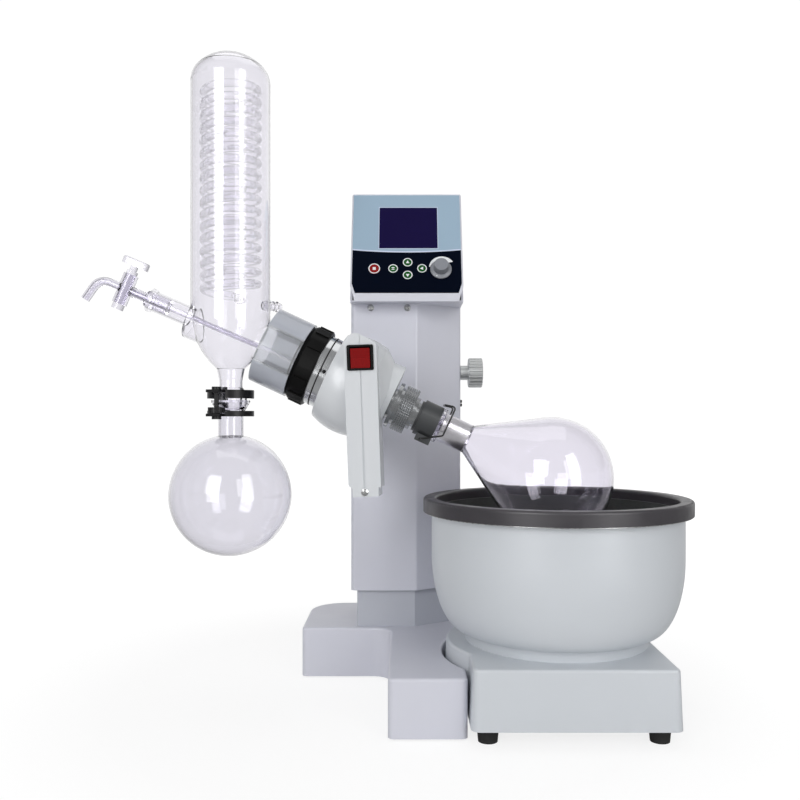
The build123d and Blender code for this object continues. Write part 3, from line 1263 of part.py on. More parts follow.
def clamp_fork(throat, low, high, plate_low):
    """A horseshoe plate with a rim, open to the rear, and a tail for the screw."""
    opening = Circle(throat) + Pos(0, FORK_R) * Rectangle(2 * throat, 2 * FORK_R)
    plate = Circle(FORK_R) + Pos(0, -FORK_TAIL / 2) * Rectangle(FORK_TAIL_W, FORK_TAIL) - opening
    rim = Circle(FORK_R) - Circle(FORK_R - FORK_T) - opening
    rim -= Pos(0, -FORK_R) * Rectangle(FORK_TAIL_W, FORK_R)
    body = Pos(0, 0, plate_low) * extrude(plate, FORK_T) + Pos(0, 0, low) * extrude(rim, high - low)
    return CLAMP * (body - CLAMP_AXIS * rod(CLAMP_PIN_R + SEAT_CLEARANCE, low, high))


CLAMP_AXIS = Pos(0, FORK_TAIL_W / 2 - FORK_TAIL)


def clamp_upper_fork():
    throat = math.sqrt(BALL_R**2 - (UPPER_FORK_Z - BALL_Z) ** 2) + SLIDE_CLEARANCE
    return clamp_fork(throat, UPPER_FORK_Z - FORK_SKIRT_H, UPPER_FORK_Z + FORK_T, UPPER_FORK_Z)


def clamp_lower_fork():
    throat = RECEIVER_NECK_R + SLIDE_CLEARANCE
    plate = CUP_RIM_Z - CUP_H - FORK_T - SLIDE_CLEARANCE
    return clamp_fork(throat, plate, plate + FORK_T + FORK_SKIRT_H / 2, plate)


def clamp_pin():
    """The screw through both tails, with a head above and a nut below."""
    low = CUP_RIM_Z - CUP_H - FORK_T - SLIDE_CLEARANCE
    high = UPPER_FORK_Z + FORK_T
    pin = rod(CLAMP_PIN_R, low - FORK_T, high + FORK_T)
    pin += rod(2 * CLAMP_PIN_R, high, high + FORK_T) + rod(2 * CLAMP_PIN_R, low - FORK_T, low)
    return CLAMP * CLAMP_AXIS * pin


def clamp_wheel():
    """The thumb wheel on the clamp's screw, between the tails."""
    low = CUP_RIM_Z - CUP_H + SLIDE_CLEARANCE
    wheel = rod(CLAMP_WHEEL_R, low, low + CLAMP_WHEEL_T)
    wheel -= ring_of(CLAMP_WHEEL_FLUTES, Pos(CLAMP_WHEEL_R, 0) * rod(NUT_KNURL_R, low, low + CLAMP_WHEEL_T))
    return CLAMP * CLAMP_AXIS * (wheel - rod(CLAMP_PIN_R + RUN_CLEARANCE, low, low + CLAMP_WHEEL_T))


BATH = Pos(BATH_X, BATH_Y)
BATH_SPREAD = (BATH_BASE_TOP - BATH_BASE_BOTTOM) * math.tan(math.radians(BATH_BASE_DRAFT))


def bath_outline(inset):
    """Plan of the bath's foot: round to the left, square at the front and right, flat at the rear."""
    outline = Circle(BATH_BASE_R)
    outline += Rectangle(2 * BATH_BASE_HALF_W, BATH_BASE_FRONT, align=(Align.CENTER, Align.MAX))
    room = Rectangle(BATH_BASE_R + BATH_BASE_HALF_W, BATH_BASE_FRONT + BATH_BASE_BACK)
    outline &= Pos((BATH_BASE_HALF_W - BATH_BASE_R) / 2, (BATH_BASE_BACK - BATH_BASE_FRONT) / 2) * room
    outline = fillet(outline.vertices(), BATH_BASE_CORNER)
    return offset(outline, BATH_SPREAD - inset, kind=Kind.INTERSECTION)


BATH_INLET_Z = (BATH_BASE_BOTTOM + BATH_BASE_TOP) / 2
BATH_DRAFT = math.radians(BATH_BASE_DRAFT)
BATH_INLET = Plane(
    (BATH_X, BATH_Y + BATH_BASE_BACK + BATH_SPREAD / 2, BATH_INLET_Z),
    x_dir=(-1, 0, 0), z_dir=(0, math.cos(BATH_DRAFT), math.sin(BATH_DRAFT)),
)


def bath_base_shell():
    height = BATH_BASE_TOP - BATH_BASE_BOTTOM
    body = extrude(bath_outline(0), height, taper=BATH_BASE_DRAFT)
    body = fillet(body.edges().group_by(Axis.Z)[-1], BATH_BASE_EDGE)
    body -= extrude(bath_outline(BATH_BASE_WALL), height - BATH_BASE_WALL, taper=BATH_BASE_DRAFT)
    return BATH * Pos(0, 0, BATH_BASE_BOTTOM) * body - inlet_hole(BATH_INLET)


def bath_base_plate():
    plate = extrude(bath_outline(BATH_BASE_WALL + SEAT_CLEARANCE), BATH_BASE_WALL, taper=BATH_BASE_DRAFT)
    return BATH * Pos(0, 0, BATH_BASE_BOTTOM) * plate


def bath_feet():
    foot = lathe((0, 0), (FOOT_BOTTOM_R, 0), (FOOT_R, BATH_BASE_BOTTOM), (0, BATH_BASE_BOTTOM))
    return [BATH * Pos(x, y) * foot for x, y in FOOT_AT]


def bowl_side(inset, floor, top):
    """The bowl's round side, as an upright wall over an elliptical curve down to a floor."""
    curve_x = BOWL_R - BOWL_CURVE_W
    radius = BOWL_R - inset
    return [
        Line((curve_x, floor), (0, floor)),
        EllipticalCenterArc((curve_x, BOWL_STRAIGHT_Z), radius - curve_x, BOWL_STRAIGHT_Z - floor, 270),
        Line((radius, BOWL_STRAIGHT_Z), (radius, top)),
    ]


BOWL_FLOOR = BOWL_STRAIGHT_Z - BOWL_CURVE_H
POT_FLOOR = BOWL_FLOOR + BOWL_WALL + HEATER_SPACE


def bath_bowl():
    """The painted outer bowl on its foot ring."""
    inner = BOWL_FLOOR + BOWL_WALL
    profile = make_face([
        *bowl_side(0, BOWL_FLOOR, BOWL_TOP),
        Line((BOWL_R, BOWL_TOP), (BOWL_R - BOWL_WALL, BOWL_TOP)),
        *bowl_side(BOWL_WALL, inner, BOWL_TOP),
        Line((0, BOWL_FLOOR), (0, inner)),
    ])
    body = revolve(Plane.XZ * profile, Axis.Z)
    ring = tube(BOWL_FOOT_R, BOWL_FOOT_R - 2 * BOWL_WALL, BATH_BASE_TOP, BOWL_FLOOR)
    return BATH * (body + ring)


def bath_pot():
    """The dark inner pot, hung by its flange on the bowl's edge."""
    outer = BOWL_WALL + POT_GAP
    top = BOWL_TOP + POT_WALL
    radius = BOWL_R - outer
    profile = make_face([
        *bowl_side(outer, POT_FLOOR, BOWL_TOP),
        Line((radius, BOWL_TOP), (POT_FLANGE_R, BOWL_TOP)),
        Line((POT_FLANGE_R, BOWL_TOP), (POT_FLANGE_R, top)),
        Line((POT_FLANGE_R, top), (radius - POT_WALL, top)),
        *bowl_side(outer + POT_WALL, POT_FLOOR + POT_WALL, top),
        Line((0, POT_FLOOR), (0, POT_FLOOR + POT_WALL)),
    ])
    return BATH * revolve(Plane.XZ * profile, Axis.Z)


def bath_rim():
    """The thick black edge ring, with a short skirt outside the pot's flange."""
    low = BOWL_TOP + POT_WALL
    skirt = POT_FLANGE_R + SEAT_CLEARANCE
    outline = make_face(Polyline(
        (RIM_INNER_R, low), (skirt, low), (skirt, low - RIM_SKIRT_H), (RIM_R, low - RIM_SKIRT_H),
        (RIM_R, RIM_TOP), (RIM_INNER_R, RIM_TOP), close=True,
    ))
    for x in (RIM_INNER_R, RIM_R):
        outline = fillet(corner(outline, x, RIM_TOP), RIM_EDGE)
    return BATH * revolve(Plane.XZ * outline, Axis.Z)


def bath_heater():
    return BATH * Pos(0, 0, POT_FLOOR - HEATER_TUBE_R - SEAT_CLEARANCE) * Torus(HEATER_R, HEATER_TUBE_R)


def main():
    os.makedirs("parts", exist_ok=True)
    left, right = head_halves()
    nodes = {
        "base_shell": base_shell(),
        "base_bottom_plate": base_bottom_plate(),
        "mast": mast(),
        "lift_actuator": lift_actuator(),
        "mains_inlet": inlet(STAND_INLET),
        "column_sleeve": column_sleeve(),
        "sleeve_top_plate": sleeve_top_plate(),
        "lift_rod": lift_rod(),
        "console_housing": console_housing(),
        "console_fascia": console_fascia(),
        "display_window": display_window(),
        "console_circuit_board": console_circuit_board(),
        "speed_knob": speed_knob(),
        "tilt_clamp": tilt_clamp(),
        "tilt_lock_knob": tilt_lock_knob(),
        "tilt_spindle": tilt_spindle(),
        "head_shell_left": left,
        "head_shell_right": right,
        "head_screw": head_screw(),
        "switch_bezel": switch_bezel(),
        "rocker": rocker(),
        "drive_motor": drive_motor(),
        "drive_worm": drive_worm(),
        "worm_wheel": worm_wheel(),
        "shaft_seal": shaft_seal(),
        "vapour_flange": vapour_flange(),
        "union_nut": union_nut(),
        "vapour_guard": vapour_guard(),
        "hollow_shaft": hollow_shaft(),
        "push_off_nut": push_off_nut(),
        "vapour_tube": vapour_tube(),
        "flask_clip": flask_clip(),
        "wire_bail": wire_bail(),
        "evaporating_flask": evaporating_flask(),
        "condenser_body": condenser_body(),
        "stopcock_body": stopcock_body(),
        "stopcock_key": stopcock_key(),
        "feed_tube": feed_tube(),
        "receiving_flask": receiving_flask(),
        "clamp_wheel": clamp_wheel(),
        "bath_base_shell": bath_base_shell(),
        "bath_base_plate": bath_base_plate(),
        "bath_bowl": bath_bowl(),
        "bath_pot": bath_pot(),
        "bath_rim": bath_rim(),
        "bath_heater": bath_heater(),
        "bath_inlet": inlet(BATH_INLET),
    }
    for name, (place, radius) in KEYS.items():
        nodes[name] = panel_key(place, radius)
    groups = {
        "base_pads": base_pads(),
        "slide_pads": slide_pads(),
        "column_screws": column_screws(),
        "shaft_bearings": shaft_bearings(),
        "condenser_coils": [outer_coil(), inner_coil()],
        "joint_clamp": [clamp_upper_fork(), clamp_lower_fork(), clamp_pin()],
        "bath_feet": bath_feet(),
    }
    for name, solid in nodes.items():
        write(name, solid)
    for name, solids in groups.items():
        write(name, *solids)


main()
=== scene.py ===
# %% [markdown]
# # A rotary evaporator, dressed for a studio picture
# The CAD model already has every solid in place, in metres. This lesson gives the solids their real
# finishes, models the few pieces that need finer shapes, and lights the whole as a product photo.

# %% Load the CAD frame
import bpy
import math
from mathutils import Matrix, Vector


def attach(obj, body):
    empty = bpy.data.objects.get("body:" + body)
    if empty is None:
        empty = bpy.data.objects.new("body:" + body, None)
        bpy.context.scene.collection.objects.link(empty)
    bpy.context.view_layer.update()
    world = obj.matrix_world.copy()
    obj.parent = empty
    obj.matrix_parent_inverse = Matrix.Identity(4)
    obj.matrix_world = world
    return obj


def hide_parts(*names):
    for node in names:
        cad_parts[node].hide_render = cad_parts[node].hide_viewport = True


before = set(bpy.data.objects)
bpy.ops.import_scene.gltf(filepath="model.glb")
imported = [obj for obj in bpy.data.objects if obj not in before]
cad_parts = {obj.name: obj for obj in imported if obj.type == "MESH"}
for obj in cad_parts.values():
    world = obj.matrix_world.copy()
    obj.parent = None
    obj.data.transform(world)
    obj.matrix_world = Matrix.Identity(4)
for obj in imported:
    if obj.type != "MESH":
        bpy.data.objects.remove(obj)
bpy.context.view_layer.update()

# %% [markdown]
# ## The instrument's own directions
# The rotor leans down to the right, the feed arm leans up to the left and the control panel slopes back.
# The rotor and the panel each get a small frame of their own, a matrix, so that a piece can be modelled
# flat and then carried to its place. A matrix is easier to reuse than a list of turned coordinates.

# %% Frames of the rotor and the panel
ROTOR_TILT = math.radians(25)
PANEL_SLOPE = math.atan2(0.053, 0.131)
PIVOT = Vector((-0.0215, -0.047, 0.3406))
PANEL_MIDDLE = Vector((0.02465, 0.0515, 0.5205))


def frame_matrix(origin, x_axis, z_axis):
    """A place whose X and Z point along the two given directions."""
    x_axis, z_axis = Vector(x_axis).normalized(), Vector(z_axis).normalized()
    turn = Matrix((x_axis, z_axis.cross(x_axis), z_axis)).transposed()
    return Matrix.Translation(origin) @ turn.to_4x4()


ROTOR_AXIS = Vector((math.cos(ROTOR_TILT), 0, -math.sin(ROTOR_TILT)))
ROTOR_UP = Vector((math.sin(ROTOR_TILT), 0, math.cos(ROTOR_TILT)))
PANEL_UP = Vector((0, math.sin(PANEL_SLOPE), math.cos(PANEL_SLOPE)))
PANEL_OUT = Vector((0, -math.cos(PANEL_SLOPE), math.sin(PANEL_SLOPE)))
PANEL = frame_matrix(PANEL_MIDDLE, (1, 0, 0), PANEL_OUT)
print("panel slopes back", round(math.degrees(PANEL_SLOPE), 1), "degrees")

# %% [markdown]
# ## Materials: one recipe, many finishes
# Every finish starts as a Principled shader. Colours are written as the sRGB hex values one reads off a
# screen, and one function turns them to the linear values that Blender mixes with. A second function
# adds a node with its settings and links, so that a recipe stays short enough to read.

# %% Colour and node helpers
def linear(hex_code):
    """An sRGB hex colour as linear RGBA."""
    channels = [int(hex_code[start:start + 2], 16) / 255 for start in (1, 3, 5)]
    return [c / 12.92 if c <= 0.04045 else ((c + 0.055) / 1.055) ** 2.4 for c in channels] + [1.0]


def add_node(tree, kind, inputs=None, **settings):
    """One node; settings are its properties, inputs its sockets, each a value or an output to link."""
    node = tree.nodes.new(kind)
    for name, value in settings.items():
        setattr(node, name, value)
    for name, value in (inputs or {}).items():
        if isinstance(value, bpy.types.NodeSocket):
            tree.links.new(value, node.inputs[name])
        else:
            node.inputs[name].default_value = value
    return node


def new_finish(name, hex_code, **sockets):
    """A Principled material whose plain values sit on the shader's own sockets."""
    material = bpy.data.materials.new(name)
    material.use_nodes = True
    shader = material.node_tree.nodes["Principled BSDF"]
    shader.inputs["Base Color"].default_value = linear(hex_code)
    for socket, value in sockets.items():
        shader.inputs[socket.replace("_", " ")].default_value = value
    return material


def shader_of(material):
    return material.node_tree.nodes["Principled BSDF"]


def add_grain(material, grain_mm, depth_mm, stretch=(1, 1, 1), turn=(0, 0, 0)):
    """Fine relief from noise on Object coordinates; stretch and turn draw it out along one direction."""
    tree = material.node_tree
    place = add_node(tree, "ShaderNodeTexCoord")
    laid = add_node(tree, "ShaderNodeMapping",
                    {"Vector": place.outputs["Object"], "Rotation": turn, "Scale": stretch})
    noise = add_node(tree, "ShaderNodeTexNoise",
                     {"Vector": laid.outputs["Vector"], "Scale": 1000 / grain_mm, "Detail": 2.0})
    bump = add_node(tree, "ShaderNodeBump",
                    {"Height": noise.outputs["Fac"], "Distance": depth_mm / 1000})
    tree.links.new(bump.outputs["Normal"], shader_of(material).inputs["Normal"])


def add_mottle(material, hex_a, hex_b, patch_mm):
    """Slow drift between two near colours, as in paint or moulded plastic."""
    tree = material.node_tree
    place = add_node(tree, "ShaderNodeTexCoord")
    noise = add_node(tree, "ShaderNodeTexNoise",
                     {"Vector": place.outputs["Object"], "Scale": 1000 / patch_mm, "Detail": 3.0})
    blend = add_node(tree, "ShaderNodeMix", {"Factor": noise.outputs["Fac"]}, data_type="RGBA")
    blend.inputs[6].default_value = linear(hex_a)
    blend.inputs[7].default_value = linear(hex_b)
    tree.links.new(blend.outputs[2], shader_of(material).inputs["Base Color"])


def add_sheen_drift(material, low, high, patch_mm):
    """Roughness that wanders between two values, as handled surfaces have."""
    tree = material.node_tree
    place = add_node(tree, "ShaderNodeTexCoord")
    noise = add_node(tree, "ShaderNodeTexNoise",
                     {"Vector": place.outputs["Object"], "Scale": 1000 / patch_mm, "Detail": 4.0})
    spread = add_node(tree, "ShaderNodeMapRange",
                      {"Value": noise.outputs["Fac"], "From Min": 0.3, "From Max": 0.7,
                       "To Min": low, "To Max": high})
    tree.links.new(spread.outputs["Result"], shader_of(material).inputs["Roughness"])


def dress(material, *names):
    """Puts a material on CAD nodes, in place of the plain one they came with."""
    for name in names:
        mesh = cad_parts[name].data
        mesh.materials.clear()
        mesh.materials.append(material)


print("helpers ready")

# %% [markdown]
# ## Painted steel
# The stand, the column, the console and the bath are sheet steel with a powder coat. Baked powder shrinks
# to a faint orange peel, about a millimetre and a half across, and its gloss drifts a little. The peel is
# far too shallow to model, so a bump from noise gives it. Stand and bath are painted apart and differ by
# a shade, one a little lilac and the other cool; a function keeps the two recipes alike.

# %% White and grey powder coat
PEEL_MM, PEEL_DEPTH_MM = 1.5, 0.02


def white_powder(name, base, dark, light):
    """Satin white with peel: broad soft highlights that never quite sharpen."""
    finish = new_finish(name, base, Roughness=0.38, IOR=1.5)
    add_grain(finish, PEEL_MM, PEEL_DEPTH_MM)
    add_mottle(finish, dark, light, 90)
    add_sheen_drift(finish, 0.33, 0.43, 25)
    return finish


powder_white = white_powder("powder_coated_steel_white", "#DCDDE7", "#DADBE6", "#DFE0E9")
dress(powder_white, "base_shell", "column_sleeve", "console_housing")
powder_cool = white_powder("powder_coated_steel_cool_white", "#D6DBE0", "#D4D9DE", "#D9DDE2")
dress(powder_cool, "bath_base_shell", "bath_bowl")

# Flatter and greyer than the white shells: painted shade on the inner mast and the plates beneath.
powder_painted_shade = new_finish("powder_coated_steel_painted_shade", "#C6C9D2", Roughness=0.42, IOR=1.5)
add_grain(powder_painted_shade, PEEL_MM, PEEL_DEPTH_MM)
add_mottle(powder_painted_shade, "#C3C6D0", "#CACDD5", 60)
dress(powder_painted_shade, "mast", "sleeve_top_plate", "base_bottom_plate", "bath_base_plate")
print("painted", powder_white.name, powder_cool.name, powder_painted_shade.name)

# %% [markdown]
# ## Moulded plastics
# The head is a glossy white ABS clamshell. The union nut, the joint clamp and the switch frame are black
# plastic with a fine spark-eroded grain; the flask clip is the same in grey. Grain size and depth are
# what tell the eye one moulding from another, so each has its own. Real spark grain is a tenth or two of
# a millimetre, finer than a pixel here, and all of it is drawn three to five times as coarse.

# %% Head shells, grips and clips
# Long shallow waves under a sharp gloss: the slight sink of a thick moulding.
abs_white = new_finish("glossy_abs_white", "#DDE0E4", Roughness=0.24, IOR=1.54)
add_grain(abs_white, 3.0, 0.012)
add_mottle(abs_white, "#DBDEE2", "#E0E3E6", 70)
dress(abs_white, "head_shell_left", "head_shell_right")

# Deep black with hardly any mirror, so only the flutes' edges catch light.
abs_black = new_finish("grained_abs_black", "#0B0B0B", Roughness=0.4, Specular_IOR_Level=0.12)
add_grain(abs_black, 0.6, 0.02)
add_sheen_drift(abs_black, 0.34, 0.5, 12)
dress(abs_black, "union_nut", "switch_bezel", "mains_inlet", "bath_inlet")

# Glass fibres near the skin give a coarser grain and more sparkle than plain black.
clamp_black = new_finish("glass_filled_nylon_black", "#131214", Roughness=0.36, Specular_IOR_Level=0.3)
add_grain(clamp_black, 0.8, 0.03)
dress(clamp_black, "joint_clamp", "clamp_wheel")

# Waxy dark grey, clearly lighter than the black pieces next to it.
clip_grey = new_finish("acetal_dark_grey", "#3E4042", Roughness=0.38, IOR=1.48)
add_grain(clip_grey, 0.7, 0.02)
dress(clip_grey, "flask_clip")

# Dull and dry: rubber shows almost no highlight.
rubber_black = new_finish("soft_rubber_black", "#131313", Roughness=0.75, IOR=1.5)
add_grain(rubber_black, 0.5, 0.03)
dress(rubber_black, "base_pads", "bath_feet")

# Milky and faintly warm, as undyed acetal is.
guide_white = new_finish("acetal_natural", "#D9D8D0", Roughness=0.45, IOR=1.48)
add_grain(guide_white, 0.9, 0.01)
dress(guide_white, "slide_pads", "shaft_seal")
print("moulded plastics on", len(bpy.data.materials), "materials so far")

# %% [markdown]
# ## Turned steel and other metals
# Shaft, flange and push-off nut are stainless steel turned on a lathe. The tool leaves rings round the
# rotor's axis, so the noise is squeezed hard along that axis and drawn out across it. The Mapping node
# turns the pattern by the rotor's 25 degrees. Real tool rings are a tenth of a millimetre apart and are
# drawn coarser.

# %% Steel, brass and coated wire
ROTOR_TURN = (0, -ROTOR_TILT, 0)
RING_STRETCH = (6, 0.15, 0.15)
# Bright steel whose highlight is drawn out into a line along the axis.
steel_turned = new_finish("turned_stainless_steel", "#D2D4D6", Metallic=1.0, Roughness=0.17,
                          Anisotropic=0.4)
add_grain(steel_turned, 2.0, 0.005, stretch=RING_STRETCH, turn=ROTOR_TURN)
dress(steel_turned, "vapour_flange", "shaft_bearings")

# The same steel in a darker colour: painted shade in its mirror of the dim front of the room, so its
# highlights stand out.
steel_painted_dim = new_finish("stainless_steel_painted_dim", "#A4A6A8", Metallic=1.0, Roughness=0.19,
                        Anisotropic=0.4)
add_grain(steel_painted_dim, 2.0, 0.005, stretch=RING_STRETCH, turn=ROTOR_TURN)
dress(steel_painted_dim, "hollow_shaft", "push_off_nut")

# Patchy satin: zinc crystals make the gloss change every few millimetres.
steel_plain = new_finish("zinc_plated_steel", "#BDBEBE", Metallic=1.0, Roughness=0.3)
add_grain(steel_plain, 0.8, 0.01)
add_sheen_drift(steel_plain, 0.22, 0.38, 4)
dress(steel_plain, "column_screws", "head_screw", "tilt_spindle", "lift_rod", "tilt_clamp", "bath_heater",
      "drive_worm", "lift_actuator", "drive_motor")

# A smooth dipped coat: one thin clean highlight along the wire.
wire_black = new_finish("black_coated_spring_wire", "#0C0C0D", Roughness=0.32, IOR=1.5)
add_grain(wire_black, 0.6, 0.008)
dress(wire_black, "wire_bail")

# Warm and slightly soft, as hobbed teeth are.
gear_brass = new_finish("cut_brass", "#B08D57", Metallic=1.0, Roughness=0.3)
add_grain(gear_brass, 0.7, 0.01)
dress(gear_brass, "worm_wheel")

# Half metal, half haze: anodised aluminium with a blasted skin.
knob_silver = new_finish("satin_aluminium_knob", "#C6C8C8", Metallic=0.6, Roughness=0.34)
add_grain(knob_silver, 0.5, 0.012)
dress(knob_silver, "tilt_lock_knob")

# Plain satin grey, so the white crescent beside it reads as print.
knob_grey = new_finish("satin_abs_grey", "#8B8E95", Roughness=0.4, Specular_IOR_Level=0.4)
add_grain(knob_grey, 0.6, 0.012)
dress(knob_grey, "speed_knob")
print("metals ready")

# %% [markdown]
# ## Borosilicate glass
# All the glassware is clear borosilicate, IOR 1.47, with real walls in the CAD model, so light bends at
# both faces by itself. Its faint lilac cast comes from the base colour, which each wall multiplies in.
# The round flask and the small thick pieces look deeper, and have a deeper colour. Blown glass is smooth
# and even, so these carry no pattern.

# %% Clear glass
def clear_glass(name, hex_code, **sockets):
    """Smooth glass: seen by its dark rims and by what it bends, hardly by its own colour."""
    return new_finish(name, hex_code, Roughness=0.0, Transmission_Weight=1.0, **sockets)


glass_clear = clear_glass("borosilicate_glass", "#F9F8FC", IOR=1.47)
dress(glass_clear, "condenser_body", "condenser_coils", "vapour_tube")
glass_round = clear_glass("borosilicate_round_flask", "#F1F0F5", IOR=1.47)
dress(glass_round, "receiving_flask")
glass_small = clear_glass("borosilicate_thick_wall", "#E9E7EF", IOR=1.47)
dress(glass_small, "stopcock_body", "stopcock_key", "feed_tube")
# A thin hollow tube bends light far less than a solid rod: a low index and half alpha stand in for it.
glass_coil = clear_glass("borosilicate_thin_tube", "#F8F7FB", IOR=1.2, Alpha=0.5)
print("clear glass ready")

# %% [markdown]
# ## The ground neck
# The evaporating flask has a ground joint on its neck. A sand-blasted face throws light back like dull
# silver, so over that band, measured along the rotor, the glass turns rough and partly metallic. The band
# starts behind the bead and ends where the neck opens into the pear.

# %% Flask with a ground neck
BEAD_END, BEAD_FADE = 0.091, 0.001
GROUND_END, GROUND_FADE = 0.121, 0.002
glass_flask = new_finish("borosilicate_glass_ground_neck", "#F8F6FC", IOR=1.47, Transmission_Weight=1.0)
tree = glass_flask.node_tree
place = add_node(tree, "ShaderNodeTexCoord")
along = add_node(tree, "ShaderNodeVectorMath", {0: place.outputs["Object"], 1: ROTOR_AXIS},
                 operation="DOT_PRODUCT")
start = ROTOR_AXIS.dot(PIVOT)
frosted = add_node(tree, "ShaderNodeMapRange",
                   {"Value": along.outputs["Value"], "From Min": start + GROUND_END,
                    "From Max": start + GROUND_END + GROUND_FADE, "To Min": 1.0, "To Max": 0.0})
bead = add_node(tree, "ShaderNodeMapRange",
                {"Value": along.outputs["Value"], "From Min": start + BEAD_END,
                 "From Max": start + BEAD_END + BEAD_FADE, "To Min": 0.0, "To Max": 1.0})
band = add_node(tree, "ShaderNodeMath", {0: frosted.outputs["Result"], 1: bead.outputs["Result"]},
                operation="MULTIPLY")
for socket, strength in (("Roughness", 0.26), ("Metallic", 0.8)):
    scaled = add_node(tree, "ShaderNodeMath", {0: band.outputs[0], 1: strength}, operation="MULTIPLY")
    tree.links.new(scaled.outputs[0], shader_of(glass_flask).inputs[socket])
dress(glass_flask, "evaporating_flask")
print("neck ground over", round(1000 * (GROUND_END - BEAD_END)), "mm")

# %% [markdown]
# ## The clouded guard
# The vapour guard is a thick acrylic cup, clouded by use, with a clearer strip along its middle through
# which the glass inside shows. The strip is found by the distance from the rotor's middle plane.

# %% Acrylic guard
WINDOW_HALF, WINDOW_EDGE = 0.0185, 0.0215
# Grey haze with soft waves: one sees that it is see-through, and little else.
guard_grey = new_finish("clouded_acrylic_guard", "#BFC3CD", Roughness=0.1, IOR=1.49)
add_grain(guard_grey, 6.0, 0.02)
tree = guard_grey.node_tree
place = add_node(tree, "ShaderNodeTexCoord")
height = add_node(tree, "ShaderNodeVectorMath", {0: place.outputs["Object"], 1: ROTOR_UP},
                  operation="DOT_PRODUCT")
offset = add_node(tree, "ShaderNodeMath", {0: height.outputs["Value"], 1: ROTOR_UP.dot(PIVOT)},
                  operation="SUBTRACT")
distance = add_node(tree, "ShaderNodeMath", {0: offset.outputs[0]}, operation="ABSOLUTE")
window = add_node(tree, "ShaderNodeMapRange",
                  {"Value": distance.outputs[0], "From Min": WINDOW_HALF, "From Max": WINDOW_EDGE,
                   "To Min": 1.0, "To Max": 0.0})
tint = add_node(tree, "ShaderNodeMix", {"Factor": window.outputs["Result"]}, data_type="RGBA")
tint.inputs[6].default_value = linear("#BFC3CD")
tint.inputs[7].default_value = linear("#E9ECEF")
clear = add_node(tree, "ShaderNodeMapRange",
                 {"Value": window.outputs["Result"], "To Min": 0.12, "To Max": 0.8})
tree.links.new(tint.outputs[2], shader_of(guard_grey).inputs["Base Color"])
tree.links.new(clear.outputs["Result"], shader_of(guard_grey).inputs["Transmission Weight"])
dress(guard_grey, "vapour_guard")
print("guard ready")

# %% [markdown]
# ## Bath finishes
# The inner pot has a dark non-stick coat, sprayed on and baked, with a faint speckle of a few millimetres.
# The thick rim is pressed from satin black phenolic. Noise gives both, since neither has any relief that
# one could model.

# %% Pot and rim
# Speckled charcoal with a soft sheen, so the inside of the bowl keeps some depth.
pot_coat = new_finish("non_stick_coat", "#4B4D4C", Roughness=0.36, IOR=1.5)
add_grain(pot_coat, 0.8, 0.02)
add_mottle(pot_coat, "#434544", "#545655", 4)
dress(pot_coat, "bath_pot")

# Warm black that goes grey where it faces the light.
rim_black = new_finish("phenolic_rim_black", "#38353A", Roughness=0.4, IOR=1.55)
add_grain(rim_black, 1.2, 0.02)
add_sheen_drift(rim_black, 0.34, 0.46, 15)
dress(rim_black, "bath_rim")
print("bath finished")

# %% [markdown]
# ## The control panel's printed film
# The film is pale blue above and navy below, parted by a white line that sags in the middle. The three
# colours are worked out on the surface from Object coordinates: height along the slope, minus a shallow
# parabola in X, tells a point which side of the line it is on.

# %% Printed film
LINE_MIDDLE = -0.0126
LINE_RISE = 0.0033
LINE_HALF = 0.0009
PANEL_HALF_W = 0.0646
# Matt film: flat clear colours with almost no mirror.
film = new_finish("printed_polyester_film", "#9FB8C8", Roughness=0.36, Specular_IOR_Level=0.03)
add_grain(film, 0.8, 0.006)
tree = film.node_tree
place = add_node(tree, "ShaderNodeTexCoord")
height = add_node(tree, "ShaderNodeVectorMath", {0: place.outputs["Object"], 1: PANEL_UP},
                  operation="DOT_PRODUCT")
split = add_node(tree, "ShaderNodeSeparateXYZ", {"Vector": place.outputs["Object"]})
across = add_node(tree, "ShaderNodeMath", {0: split.outputs["X"], 1: PANEL_MIDDLE.x},
                  operation="SUBTRACT")
square = add_node(tree, "ShaderNodeMath", {0: across.outputs[0], 1: 2.0}, operation="POWER")
curve = add_node(tree, "ShaderNodeMath", {0: square.outputs[0], 1: LINE_RISE / PANEL_HALF_W**2,
                                          2: LINE_MIDDLE + PANEL_UP.dot(PANEL_MIDDLE)},
                 operation="MULTIPLY_ADD")
above = add_node(tree, "ShaderNodeMath", {0: height.outputs["Value"], 1: curve.outputs[0]},
                 operation="SUBTRACT")
over = add_node(tree, "ShaderNodeMath", {0: above.outputs[0], 1: LINE_HALF}, operation="GREATER_THAN")
under = add_node(tree, "ShaderNodeMath", {0: above.outputs[0], 1: -LINE_HALF}, operation="LESS_THAN")
upper = add_node(tree, "ShaderNodeMix", {"Factor": over.outputs[0]}, data_type="RGBA")
upper.inputs[6].default_value = linear("#D3DCF0")
upper.inputs[7].default_value = linear("#A2BACD")
printed = add_node(tree, "ShaderNodeMix", {"Factor": under.outputs[0], 6: upper.outputs[2]},
                   data_type="RGBA")
printed.inputs[7].default_value = linear("#040A1A")
tree.links.new(printed.outputs[2], shader_of(film).inputs["Base Color"])
dress(film, "console_fascia")
print("film printed")

# %% [markdown]
# ## Screen, keys, rocker and circuit board
# The screen is a dark display behind a matt foil, the keys are moulded and the rocker is clear red
# polycarbonate over a lamp that is off. Their texture is finer than a pixel and is drawn coarser.

# %% Small pieces of the panel
# Ink-dark violet with a weak sheen: a display that is switched off.
screen_blue = new_finish("liquid_crystal_screen", "#170F3F", Roughness=0.22, Specular_IOR_Level=0.1)
add_grain(screen_blue, 0.6, 0.004)
dress(screen_blue, "display_window")

